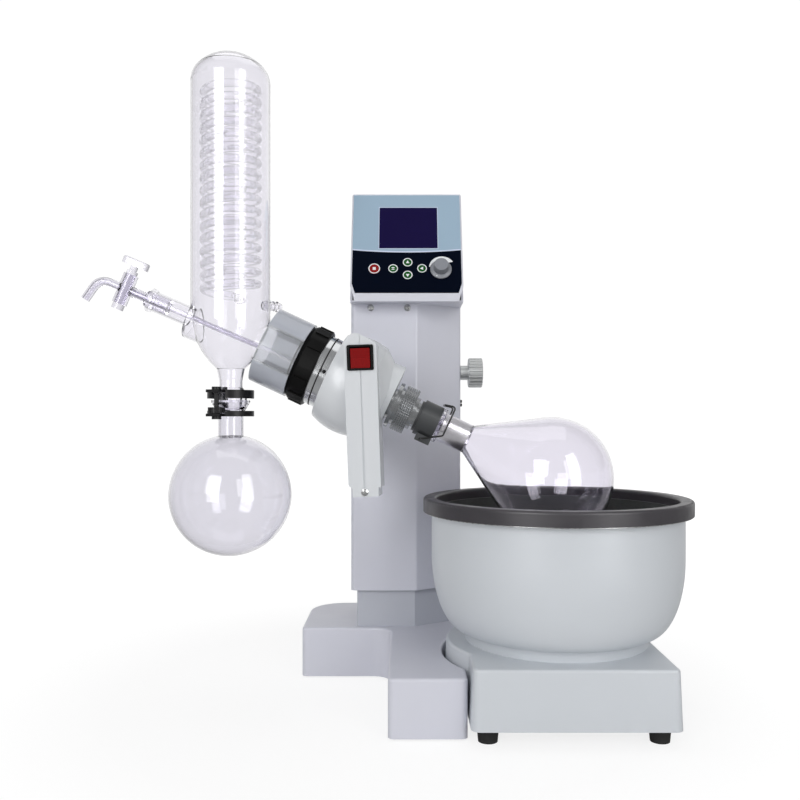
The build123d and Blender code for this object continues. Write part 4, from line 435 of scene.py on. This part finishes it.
# Two saturated satin colours that stay clear of the navy around them.
key_red = new_finish("moulded_key_red", "#8E0B0C", Roughness=0.32, Specular_IOR_Level=0.25)
add_grain(key_red, 0.7, 0.01)
dress(key_red, "stop_key")
key_green = new_finish("moulded_key_green", "#0A5414", Roughness=0.32, Specular_IOR_Level=0.25)
add_grain(key_green, 0.7, 0.01)
dress(key_green, "mode_key", "up_key", "down_key", "shift_key")

# Deep glossy red with soft waves, which the eye takes for clear plastic.
rocker_red = new_finish("translucent_polycarbonate_red", "#860507", Roughness=0.16,
                        Specular_IOR_Level=0.3)
add_grain(rocker_red, 2.0, 0.02)
dress(rocker_red, "rocker")

# Lacquered green, only seen when the console is opened.
board_green = new_finish("circuit_board_green", "#14502B", Roughness=0.4, IOR=1.5)
add_grain(board_green, 0.8, 0.02)
dress(board_green, "console_circuit_board")
print("panel printed,", len(bpy.data.materials), "materials")

# %% [markdown]
# ## Helpers for new pieces
# A new piece starts as a flat outline, is raised in edit mode and is then laid in its place. The last
# step is the same for all: transforms applied, normals turned outwards, edges softened, and the piece
# tied to the CAD body that it moves with.

# %% Start, raise and settle a piece
MM = 0.001


def apply_place():
    """Writes the active object's place, turn and size into its mesh."""
    bpy.ops.object.transform_apply(location=True, rotation=True, scale=True)


def edit_all():
    """Edit mode with everything selected."""
    bpy.ops.object.mode_set(mode="EDIT")
    bpy.ops.mesh.select_all(action="SELECT")


def start_outline(sides, radius, place, turn=0.0):
    """A flat polygon in the XY plane of a place, ready for edit mode."""
    bpy.ops.object.select_all(action="DESELECT")
    bpy.ops.mesh.primitive_circle_add(vertices=sides, radius=radius, fill_type="NGON")
    bpy.context.object.matrix_world = place @ Matrix.Rotation(turn, 4, "Z")
    return bpy.context.object


def open_middle(width):
    """Insets the only face and deletes the middle, which leaves a flat ring."""
    edit_all()
    bpy.ops.mesh.inset(thickness=width, depth=0)
    bpy.ops.mesh.delete(type="FACE")
    bpy.ops.object.mode_set(mode="OBJECT")


def keep_edge():
    """Deletes the outline's face and stays in edit mode with its edge selected."""
    edit_all()
    bpy.ops.mesh.delete(type="ONLY_FACE")
    bpy.ops.mesh.select_all(action="SELECT")


def raise_outline(direction, edge):
    """Extrudes the whole outline and rounds its edges."""
    edit_all()
    bpy.ops.mesh.extrude_region_move(TRANSFORM_OT_translate={"value": direction})
    bpy.ops.mesh.select_all(action="SELECT")
    bpy.ops.mesh.normals_make_consistent(inside=False)
    bpy.ops.mesh.bevel(offset=edge, segments=2, affect="EDGES")
    bpy.ops.object.mode_set(mode="OBJECT")


def settle(piece, name, material, body):
    """Applies transforms, turns normals out, softens the shading and ties the piece to its body."""
    bpy.ops.object.select_all(action="DESELECT")
    piece.select_set(True)
    bpy.context.view_layer.objects.active = piece
    apply_place()
    edit_all()
    bpy.ops.mesh.normals_make_consistent(inside=False)
    bpy.ops.object.mode_set(mode="OBJECT")
    bpy.ops.object.shade_smooth_by_angle(angle=math.radians(35))
    piece.name = name
    piece.data.materials.clear()
    piece.data.materials.append(material)
    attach(piece, body)
    print(name, "has", len(piece.data.polygons), "faces")


# %% [markdown]
# ## The double cooling coil
# The CAD coils are plain six-sided bars. Real ones are wound from thin glass tube, so each starts as one
# circle, the tube's outline. The Screw modifier winds it round the condenser's axis, where pitch and
# turns are plain settings. The tube has one surface and no inner wall: two coils of walled tube inside a
# walled jacket would put so many faces in a row that most light would be lost between them. Both ends run
# straight to the rear, where the hose nipples are.

# %% Wind the coils
CONDENSER_FOOT = Vector((-0.166, -0.047, 0.446))
TUBE_SIDES, STEPS_PER_TURN = 14, 40
END_SLIMMER, END_START = 0.8, 0.7


def extrude_open(direction):
    """Extrudes the active object's edge loop, which makes an open tube of a circle."""
    edit_all()
    bpy.ops.mesh.extrude_region_move(TRANSFORM_OT_translate={"value": direction})
    bpy.ops.object.mode_set(mode="OBJECT")
    return bpy.context.object


def wind_coil(radius, tube_r, pitch, turns, reach):
    """An open tube wound upwards from the rear, with two straight ends that reach out to the rear."""
    bpy.ops.object.select_all(action="DESELECT")
    bpy.ops.mesh.primitive_circle_add(vertices=TUBE_SIDES, radius=tube_r, location=(0, radius, 0),
                                      rotation=(0, math.pi / 2, 0))
    apply_place()
    coil = bpy.context.object
    bpy.ops.object.modifier_add(type="SCREW")
    screw = coil.modifiers[-1]
    screw.screw_offset, screw.iterations = pitch, turns
    screw.steps = screw.render_steps = STEPS_PER_TURN
    bpy.ops.object.modifier_apply(modifier=screw.name)
    ends = []
    rear = radius + tube_r * END_START
    for height in (0, pitch * turns):
        bpy.ops.object.select_all(action="DESELECT")
        bpy.ops.mesh.primitive_circle_add(vertices=TUBE_SIDES, radius=tube_r * END_SLIMMER,
                                          location=(0, rear, height), rotation=(math.pi / 2, 0, 0))
        apply_place()
        ends.append(extrude_open((0, reach - rear, 0)))
    for part in (*ends, coil):
        part.select_set(True)
    bpy.context.view_layer.objects.active = coil
    bpy.ops.object.join()
    return coil


outer_coil = wind_coil(radius=0.029, tube_r=0.00425, pitch=0.0131, turns=17, reach=0.0400)
inner_coil = wind_coil(radius=0.0135, tube_r=0.0035, pitch=0.01048, turns=20, reach=0.0244)
bpy.ops.object.select_all(action="DESELECT")
inner_coil.select_set(True)
outer_coil.select_set(True)
bpy.context.view_layer.objects.active = outer_coil
bpy.ops.object.join()
outer_coil.location = CONDENSER_FOOT
settle(outer_coil, "glass_double_coil", glass_coil, "head")
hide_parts("condenser_coils")

# %% [markdown]
# ## Printed marks on the panel
# Each key has a white ring on its top and a plain mark: arrows on three keys, a square on the red one and
# two bars on the last. They are thin raised prints, one or two tenths of a millimetre high, each modelled
# from a flat polygon. A raised print catches light like real ink, and it moves with its key.

# %% Rings and arrows on the keys
KEY_TOP = 1.2 * MM
INK_HEIGHT, INK_EDGE = 0.12 * MM, 0.03 * MM
RING_HEIGHT, RING_EDGE, RING_SUNK = 0.22 * MM, 0.08 * MM, 0.02 * MM
# Chalky white with slight unevenness, as thick ink has; its grain is drawn coarser than real.
print_white = new_finish("screen_print_white", "#EEF1F4", Roughness=0.42, IOR=1.5)
add_grain(print_white, 0.5, 0.006)
add_mottle(print_white, "#ECEFF2", "#F4F6F8", 3)


def panel_place(x, y, z):
    """A spot on the sloping panel: x and y in millimetres from its middle, z in metres above it."""
    return PANEL @ Matrix.Translation((x * MM, y * MM, z))


def print_mark(name, sides, radius, place, turn, body, stretch=(1, 1, 1)):
    """A thin raised polygon."""
    mark = start_outline(sides, radius * MM, place, turn)
    mark.matrix_world = mark.matrix_world @ Matrix.Diagonal((*stretch, 1))
    apply_place()
    raise_outline(PANEL_OUT * INK_HEIGHT, INK_EDGE)
    settle(mark, name, print_white, body)


# Middle and the ring's two radii, in millimetres.
KEYS = {"stop_key": (-38.4, -36.2, 6.8, 5.7), "mode_key": (-16.1, -36.2, 5.7, 4.6),
        "up_key": (1.1, -27.6, 5.7, 4.6), "down_key": (1.1, -45.0, 5.7, 4.6),
        "shift_key": (18.1, -36.0, 5.7, 4.6)}
for key, (x, y, outer, inner) in KEYS.items():
    ring = start_outline(64, outer * MM, panel_place(x, y, KEY_TOP - RING_SUNK))
    open_middle((outer - inner) * MM)
    apply_place()
    raise_outline(PANEL_OUT * RING_HEIGHT, RING_EDGE)
    settle(ring, key + "_ring", print_white, key + "_body")
for key, turn in (("up_key", 0.0), ("down_key", math.pi), ("shift_key", math.pi / 2)):
    x, y = KEYS[key][:2]
    print_mark(key + "_arrow", 3, 2.5, panel_place(x, y, KEY_TOP), turn, key + "_body")
print_mark("stop_key_square", 4, 2.6, panel_place(*KEYS["stop_key"][:2], KEY_TOP), math.pi / 4,
           "stop_key_body")
for name, rise in (("upper", 1.1), ("lower", -1.1)):
    x, y = KEYS["mode_key"][:2]
    print_mark("mode_key_bar_" + name, 4, 1.0, panel_place(x, y + rise, KEY_TOP), 0.0, "mode_key_body",
               (2.4, 0.8, 1))

# %% [markdown]
# ## Display frame, speed crescent and pointer
# A pale line frames the display. Over the knob lies a white crescent, thin at slow and thick at fast. It
# is a ring whose outer loop is pushed to the upper right, cut off below by Bisect: two circles that are
# not concentric give the taper without any drawing.

# %% Frame, crescent and pointer
PRINT_SEAT = 0.3 * MM - 0.05 * MM
PRINT_HEIGHT = 0.13 * MM
# The same ink in pale blue, a shade above the film, so that the frame is a line and not a gap.
print_pale = new_finish("screen_print_pale_blue", "#C6D2EA", Roughness=0.4, IOR=1.5)
add_grain(print_pale, 0.5, 0.006)
frame_line = start_outline(4, 1.0, Matrix.Identity(4), math.pi / 4)
apply_place()
FRAME_SIZE = Matrix.Diagonal((50.8 * MM, 42.4 * MM, 1, 1))
frame_line.matrix_world = panel_place(2.0, 21.4, PRINT_SEAT) @ FRAME_SIZE
apply_place()
open_middle(0.9 * MM)
raise_outline(PANEL_OUT * PRINT_HEIGHT, INK_EDGE)
settle(frame_line, "display_frame", print_pale, "carriage")

KNOB = (40.4, -37.5)
CRESCENT_GROWTH = 1.16
crescent = start_outline(96, 13.3 * MM, panel_place(*KNOB, PRINT_SEAT))
apply_place()
cut_place = panel_place(*KNOB, PRINT_SEAT) @ Vector() + PANEL_UP * 7.6 * MM
cut_normal = PANEL_UP + Vector((-0.25, 0, 0))
keep_edge()
shift = (1.3 * MM, *(PANEL_UP * 3.0 * MM).yz)
bpy.ops.mesh.extrude_region_move(TRANSFORM_OT_translate={"value": shift})
bpy.ops.transform.resize(value=(CRESCENT_GROWTH,) * 3)
bpy.ops.mesh.select_all(action="SELECT")
bpy.ops.mesh.bisect(plane_co=cut_place, plane_no=cut_normal, clear_inner=True)
bpy.ops.object.mode_set(mode="OBJECT")
raise_outline(PANEL_OUT * PRINT_HEIGHT, INK_EDGE)
settle(crescent, "speed_crescent", print_white, "carriage")

POINTER_ANGLE, POINTER_REACH, SKIRT_TOP = math.radians(243), 11.2, 3.85 * MM
pointer_x = KNOB[0] + POINTER_REACH * math.cos(POINTER_ANGLE)
pointer_y = KNOB[1] + POINTER_REACH * math.sin(POINTER_ANGLE)
print_mark("speed_pointer", 4, 1.0, panel_place(pointer_x, pointer_y, SKIRT_TOP), POINTER_ANGLE,
           "speed_knob_body", (1.5, 0.7, 1))

# %% [markdown]
# ## Two rubber plugs
# The column's right side has two small black plugs under the lock knob. One is raised from a circle and
# domed by its bevel, and the other is a copy with a mesh of its own.

# %% Plugs on the column
PLUG_R, PLUG_HEIGHT, PLUG_EDGE = 1.9 * MM, 2.2 * MM, 0.6 * MM
PLUG_SPACING = 4.4 * MM
plug_place = frame_matrix((0.0912, 0.089, 0.3312), (0, 1, 0), (1, 0, 0))
plug = start_outline(32, PLUG_R, plug_place)
apply_place()
raise_outline((PLUG_HEIGHT, 0, 0), PLUG_EDGE)
second = plug.copy()
second.data = plug.data.copy()
bpy.context.collection.objects.link(second)
second.location.z -= PLUG_SPACING
settle(plug, "column_plug_upper", rubber_black, "carriage")
settle(second, "column_plug_lower", rubber_black, "carriage")

# %% [markdown]
# ## Painted groove shade and set screw on the flange
# A black ring paints the shade in the groove that parts the steel flange in two, and a small socket screw
# faces the front. The ring is flat and raised along the rotor's axis. The screw is raised from a circle; its
# front face is then found by its normal, inset and pushed back for the socket. A Boolean would also cut it,
# but leaves rougher edges.

# %% Flange trim
# Near-black with a dim metal glint, which parts the screw from the bright flange.
oxide_black = new_finish("black_oxide_steel", "#1C1C1D", Metallic=0.8, Roughness=0.36)
add_grain(oxide_black, 0.5, 0.01)
ROTOR = frame_matrix(PIVOT, ROTOR_UP, ROTOR_AXIS)
TRIM_EDGE = 0.15 * MM
# The black ring is painted shade: it stands for the dark groove around the flange.
GROOVE_SHADE_R, GROOVE_SHADE_WIDTH, GROOVE_SHADE_LENGTH, GROOVE_SHADE_AT = 39.3 * MM, 0.6 * MM, 1.5 * MM, -49.0 * MM
groove_shade_ring = start_outline(96, GROOVE_SHADE_R, ROTOR @ Matrix.Translation((0, 0, GROOVE_SHADE_AT)))
apply_place()
open_middle(GROOVE_SHADE_WIDTH)
raise_outline(ROTOR_AXIS * GROOVE_SHADE_LENGTH, TRIM_EDGE)
settle(groove_shade_ring, "flange_groove_shade", rubber_black, "head")

FRONT = Vector((0, -1, 0))
SCREW_R, SCREW_HEIGHT, SOCKET_WALL, SOCKET_DEPTH = 2.1 * MM, 0.7 * MM, 0.8 * MM, 0.5 * MM
screw_middle = PIVOT + ROTOR_AXIS * -44 * MM + FRONT * 38.8 * MM
screw = start_outline(24, SCREW_R, frame_matrix(screw_middle, ROTOR_AXIS, FRONT))
apply_place()
raise_outline(FRONT * SCREW_HEIGHT, TRIM_EDGE)
bpy.ops.object.mode_set(mode="EDIT")
bpy.ops.mesh.select_mode(type="FACE")
bpy.ops.mesh.select_all(action="DESELECT")
bpy.ops.object.mode_set(mode="OBJECT")
for face in screw.data.polygons:
    face.select = face.normal.dot(FRONT) > 0.99 and len(face.vertices) > 4
bpy.ops.object.mode_set(mode="EDIT")
bpy.ops.mesh.inset(thickness=SOCKET_WALL, depth=0)
bpy.ops.mesh.extrude_region_move(TRANSFORM_OT_translate={"value": FRONT * -SOCKET_DEPTH})
bpy.ops.mesh.select_mode(type="VERT")
bpy.ops.object.mode_set(mode="OBJECT")
settle(screw, "flange_set_screw", oxide_black, "head")

# %% [markdown]
# ## The knurl of the push-off nut
# The nut is gripped by a diamond knurl. A circle is extruded in short steps to a tube of squares, and Poke
# Faces lifts the middle of each square into a small pyramid. Solidify closes the band from inside. Real
# pyramids catch the light one by one, which a bump would not do at the outline. They are drawn about twice
# as coarse as the real ones, which would be finer than a pixel.

# %% Knurled band
KNURL_R, KNURL_AT, KNURL_WALL = 24.9 * MM, 42.2 * MM, 0.4 * MM
KNURL_STEPS, KNURL_PITCH, KNURL_DEPTH = 6, 2.2 * MM, 0.8 * MM
knurl = start_outline(60, KNURL_R, ROTOR @ Matrix.Translation((0, 0, KNURL_AT)))
apply_place()
keep_edge()
for _ in range(KNURL_STEPS):
    bpy.ops.mesh.extrude_region_move(TRANSFORM_OT_translate={"value": ROTOR_AXIS * KNURL_PITCH})
bpy.ops.mesh.select_all(action="SELECT")
bpy.ops.mesh.normals_make_consistent(inside=False)
bpy.ops.mesh.poke(offset=KNURL_DEPTH)
bpy.ops.object.mode_set(mode="OBJECT")
bpy.ops.object.modifier_add(type="SOLIDIFY")
knurl.modifiers[-1].thickness = KNURL_WALL
bpy.ops.object.modifier_apply(modifier=knurl.modifiers[-1].name)
# The knurl takes the darker steel, whose colour is painted shade in its reflections.
settle(knurl, "push_off_knurl", steel_painted_dim, "push_off_nut_body")

# %% [markdown]
# ## A steel trim under the rim
# A thin bright line shows where the black rim ends on the bowl. It is a flat ring of bare steel, raised by
# less than a millimetre and set against the underside of the rim.

# %% Rim trim
trim_place = Matrix.Translation((0.1855, -0.047, 0.2097))
RIM_R, RIM_WIDTH, RIM_HEIGHT, RIM_EDGE = 142.3 * MM, 8.2 * MM, 0.85 * MM, 0.2 * MM
trim = start_outline(128, RIM_R, trim_place)
apply_place()
open_middle(RIM_WIDTH)
raise_outline((0, 0, RIM_HEIGHT), RIM_EDGE)
settle(trim, "rim_trim", steel_plain, "bath")

# %% [markdown]
# ## Camera
# The photo was taken level, at about the height of the head and just under a metre away. The lens comes
# from that distance, and the small shift puts the optical axis where the photo has it.

# %% Camera at the photo's place
CAMERA_PLACE = (0.0226, -0.965, 0.3135)
LENS_MM, SENSOR_MM = 38.16, 36
SHIFT = (-0.00625, 0.0196)
bpy.ops.object.select_all(action="DESELECT")
bpy.ops.object.camera_add(location=CAMERA_PLACE, rotation=(math.pi / 2, 0, 0))
camera = bpy.context.object
camera.name = "photo_camera"
camera.data.lens = LENS_MM
camera.data.sensor_width = SENSOR_MM
camera.data.shift_x, camera.data.shift_y = SHIFT
camera.data.clip_start = 0.01
bpy.context.scene.camera = camera
print("lens", camera.data.lens, "mm")

# %% [markdown]
# ## What bent rays see
# The picture is a white cut-out: to the camera, floor and surroundings are plain white. Clear glass is
# drawn only by what it bends into view, though, and in a room white all round it would vanish. So rays
# that were bent by glass or mirrored by metal see the room fade from white at the rear to grey at the
# front and the sides, and glass gets its dark rims from there. Floor and world share the two recipes.

# %% Shared recipes for floor and world
REAR_STARTS, REAR_FULL = 0.35, 0.92
DIM_FRONT = 0.36


def add_bent_test(tree, rays):
    """One for a ray that was bent or mirrored, else nought."""
    return add_node(tree, "ShaderNodeMath",
                    {0: rays.outputs["Is Glossy Ray"], 1: rays.outputs["Is Transmission Ray"]},
                    operation="MAXIMUM").outputs[0]


def add_rear_fade(tree, heading):
    """Grey towards the front and the sides, white towards the rear, from a direction's Y."""
    split = add_node(tree, "ShaderNodeSeparateXYZ", {"Vector": heading})
    return add_node(tree, "ShaderNodeMapRange",
                    {"Value": split.outputs["Y"], "From Min": REAR_STARTS, "From Max": REAR_FULL,
                     "To Min": DIM_FRONT, "To Max": 1.0}).outputs["Result"]


print("fade from", DIM_FRONT, "to 1")

# %% [markdown]
# ## Floor
# The floor is a sheet of white paper. Near the object a share of it stays matt, which keeps a weak shadow
# under the feet. The share falls with distance, so that far out the floor is as plain as the world and no
# edge shows between the two.

# %% Floor
FLOOR_RADIUS = 6
PAPER_LEVEL = 1.12
SHADOW_NEAR, SHADOW_FAR = 0.3, 0.8
PLAIN_SHARE = 0.72
bpy.ops.object.select_all(action="DESELECT")
bpy.ops.mesh.primitive_circle_add(vertices=96, radius=FLOOR_RADIUS, fill_type="NGON", location=(0, 0, 0))
floor = bpy.context.object
floor.name = "studio_floor"
floor_white = bpy.data.materials.new("floor_white")
floor_white.use_nodes = True
tree = floor_white.node_tree
tree.nodes.clear()
rays = add_node(tree, "ShaderNodeLightPath")
place = add_node(tree, "ShaderNodeTexCoord")
heading = add_node(tree, "ShaderNodeVectorMath", {0: place.outputs["Object"]}, operation="NORMALIZE")
away = add_node(tree, "ShaderNodeVectorMath", {0: place.outputs["Object"]}, operation="LENGTH")
plainness = add_node(tree, "ShaderNodeMapRange",
                     {"Value": away.outputs["Value"], "From Min": SHADOW_NEAR, "From Max": SHADOW_FAR,
                      "To Min": PLAIN_SHARE, "To Max": 1.0})
level = add_node(tree, "ShaderNodeMix",
                 {"Factor": rays.outputs["Is Camera Ray"], 2: add_rear_fade(tree, heading.outputs["Vector"]),
                  3: PAPER_LEVEL})
seen = add_node(tree, "ShaderNodeMath", {0: rays.outputs["Is Camera Ray"], 1: add_bent_test(tree, rays)},
                operation="MAXIMUM")
share = add_node(tree, "ShaderNodeMath", {0: seen.outputs[0], 1: plainness.outputs["Result"]},
                 operation="MULTIPLY")
matt = add_node(tree, "ShaderNodeBsdfDiffuse", {"Color": linear("#F2F2F2")})
glow = add_node(tree, "ShaderNodeEmission", {"Color": (1, 1, 1, 1), "Strength": level.outputs[0]})
both = add_node(tree, "ShaderNodeMixShader", {0: share.outputs[0], 1: matt.outputs[0], 2: glow.outputs[0]})
add_node(tree, "ShaderNodeOutputMaterial", {"Surface": both.outputs[0]})
floor.data.materials.append(floor_white)
print("floor of", 2 * FLOOR_RADIUS, "m across")

# %% [markdown]
# ## World
# The surroundings do three things: plain white for the camera, an even dim light for matt surfaces, and
# the fade above for bent rays. A picture of a studio could stand here too, but three plain values are
# easier to tune.

# %% World
SKY_LEVEL, FILL_LEVEL = 1.03, 0.37
world = bpy.data.worlds.new("white_studio")
bpy.context.scene.world = world
world.use_nodes = True
tree = world.node_tree
tree.nodes.clear()
rays = add_node(tree, "ShaderNodeLightPath")
place = add_node(tree, "ShaderNodeTexCoord")
plain = add_node(tree, "ShaderNodeMix",
                 {"Factor": add_bent_test(tree, rays), 2: FILL_LEVEL,
                  3: add_rear_fade(tree, place.outputs["Generated"])})
level = add_node(tree, "ShaderNodeMix",
                 {"Factor": rays.outputs["Is Camera Ray"], 2: plain.outputs[0], 3: SKY_LEVEL})
sky = add_node(tree, "ShaderNodeBackground", {"Color": (1, 1, 1, 1), "Strength": level.outputs[0]})
add_node(tree, "ShaderNodeOutputWorld", {"Surface": sky.outputs[0]})
print("world ready")

# %% [markdown]
# ## Lamps
# Two large soft boxes in front light the paint from both sides, and a weak one above fills the tops. The
# condenser shows two tall white stripes, each about 16 degrees off its middle line. A mirror doubles the
# angle, so two tall strips stand 33 degrees to either side of the camera, as seen from the condenser.
# The strips are hidden from matt surfaces: glass and metal show them and the paint stays even.

# %% Soft boxes and strips
MIDDLE, BELLY = (0, 0, 0.35), (-0.1, 0, 0.4)


def add_lamp(name, place, target, size, power):
    """A soft box that looks at a point of the object; size in metres, power in watts."""
    bpy.ops.object.light_add(type="AREA", location=place)
    lamp = bpy.context.object
    lamp.name = name
    lamp.data.shape = "RECTANGLE"
    lamp.data.size, lamp.data.size_y = size
    lamp.data.energy = power
    lamp.rotation_euler = (Vector(target) - Vector(place)).to_track_quat("-Z", "Y").to_euler()
    return lamp


add_lamp("left_box", (-1.2, -2.5, 1.3), MIDDLE, (1.4, 1.6), 25)
add_lamp("right_box", (1.4, -2.2, 1.1), MIDDLE, (1.2, 1.6), 14.5)
add_lamp("top_box", (0, 0.2, 2.0), (0, 0, 0.3), (1.6, 1.2), 5)
add_lamp("left_strip", (-0.71, -1.43, 0.7), BELLY, (0.62, 1.4), 9).visible_diffuse = False
add_lamp("right_strip", (0.89, -1.10, 0.7), BELLY, (0.5, 1.4), 8).visible_diffuse = False
bpy.context.scene.view_settings.view_transform = "Standard"
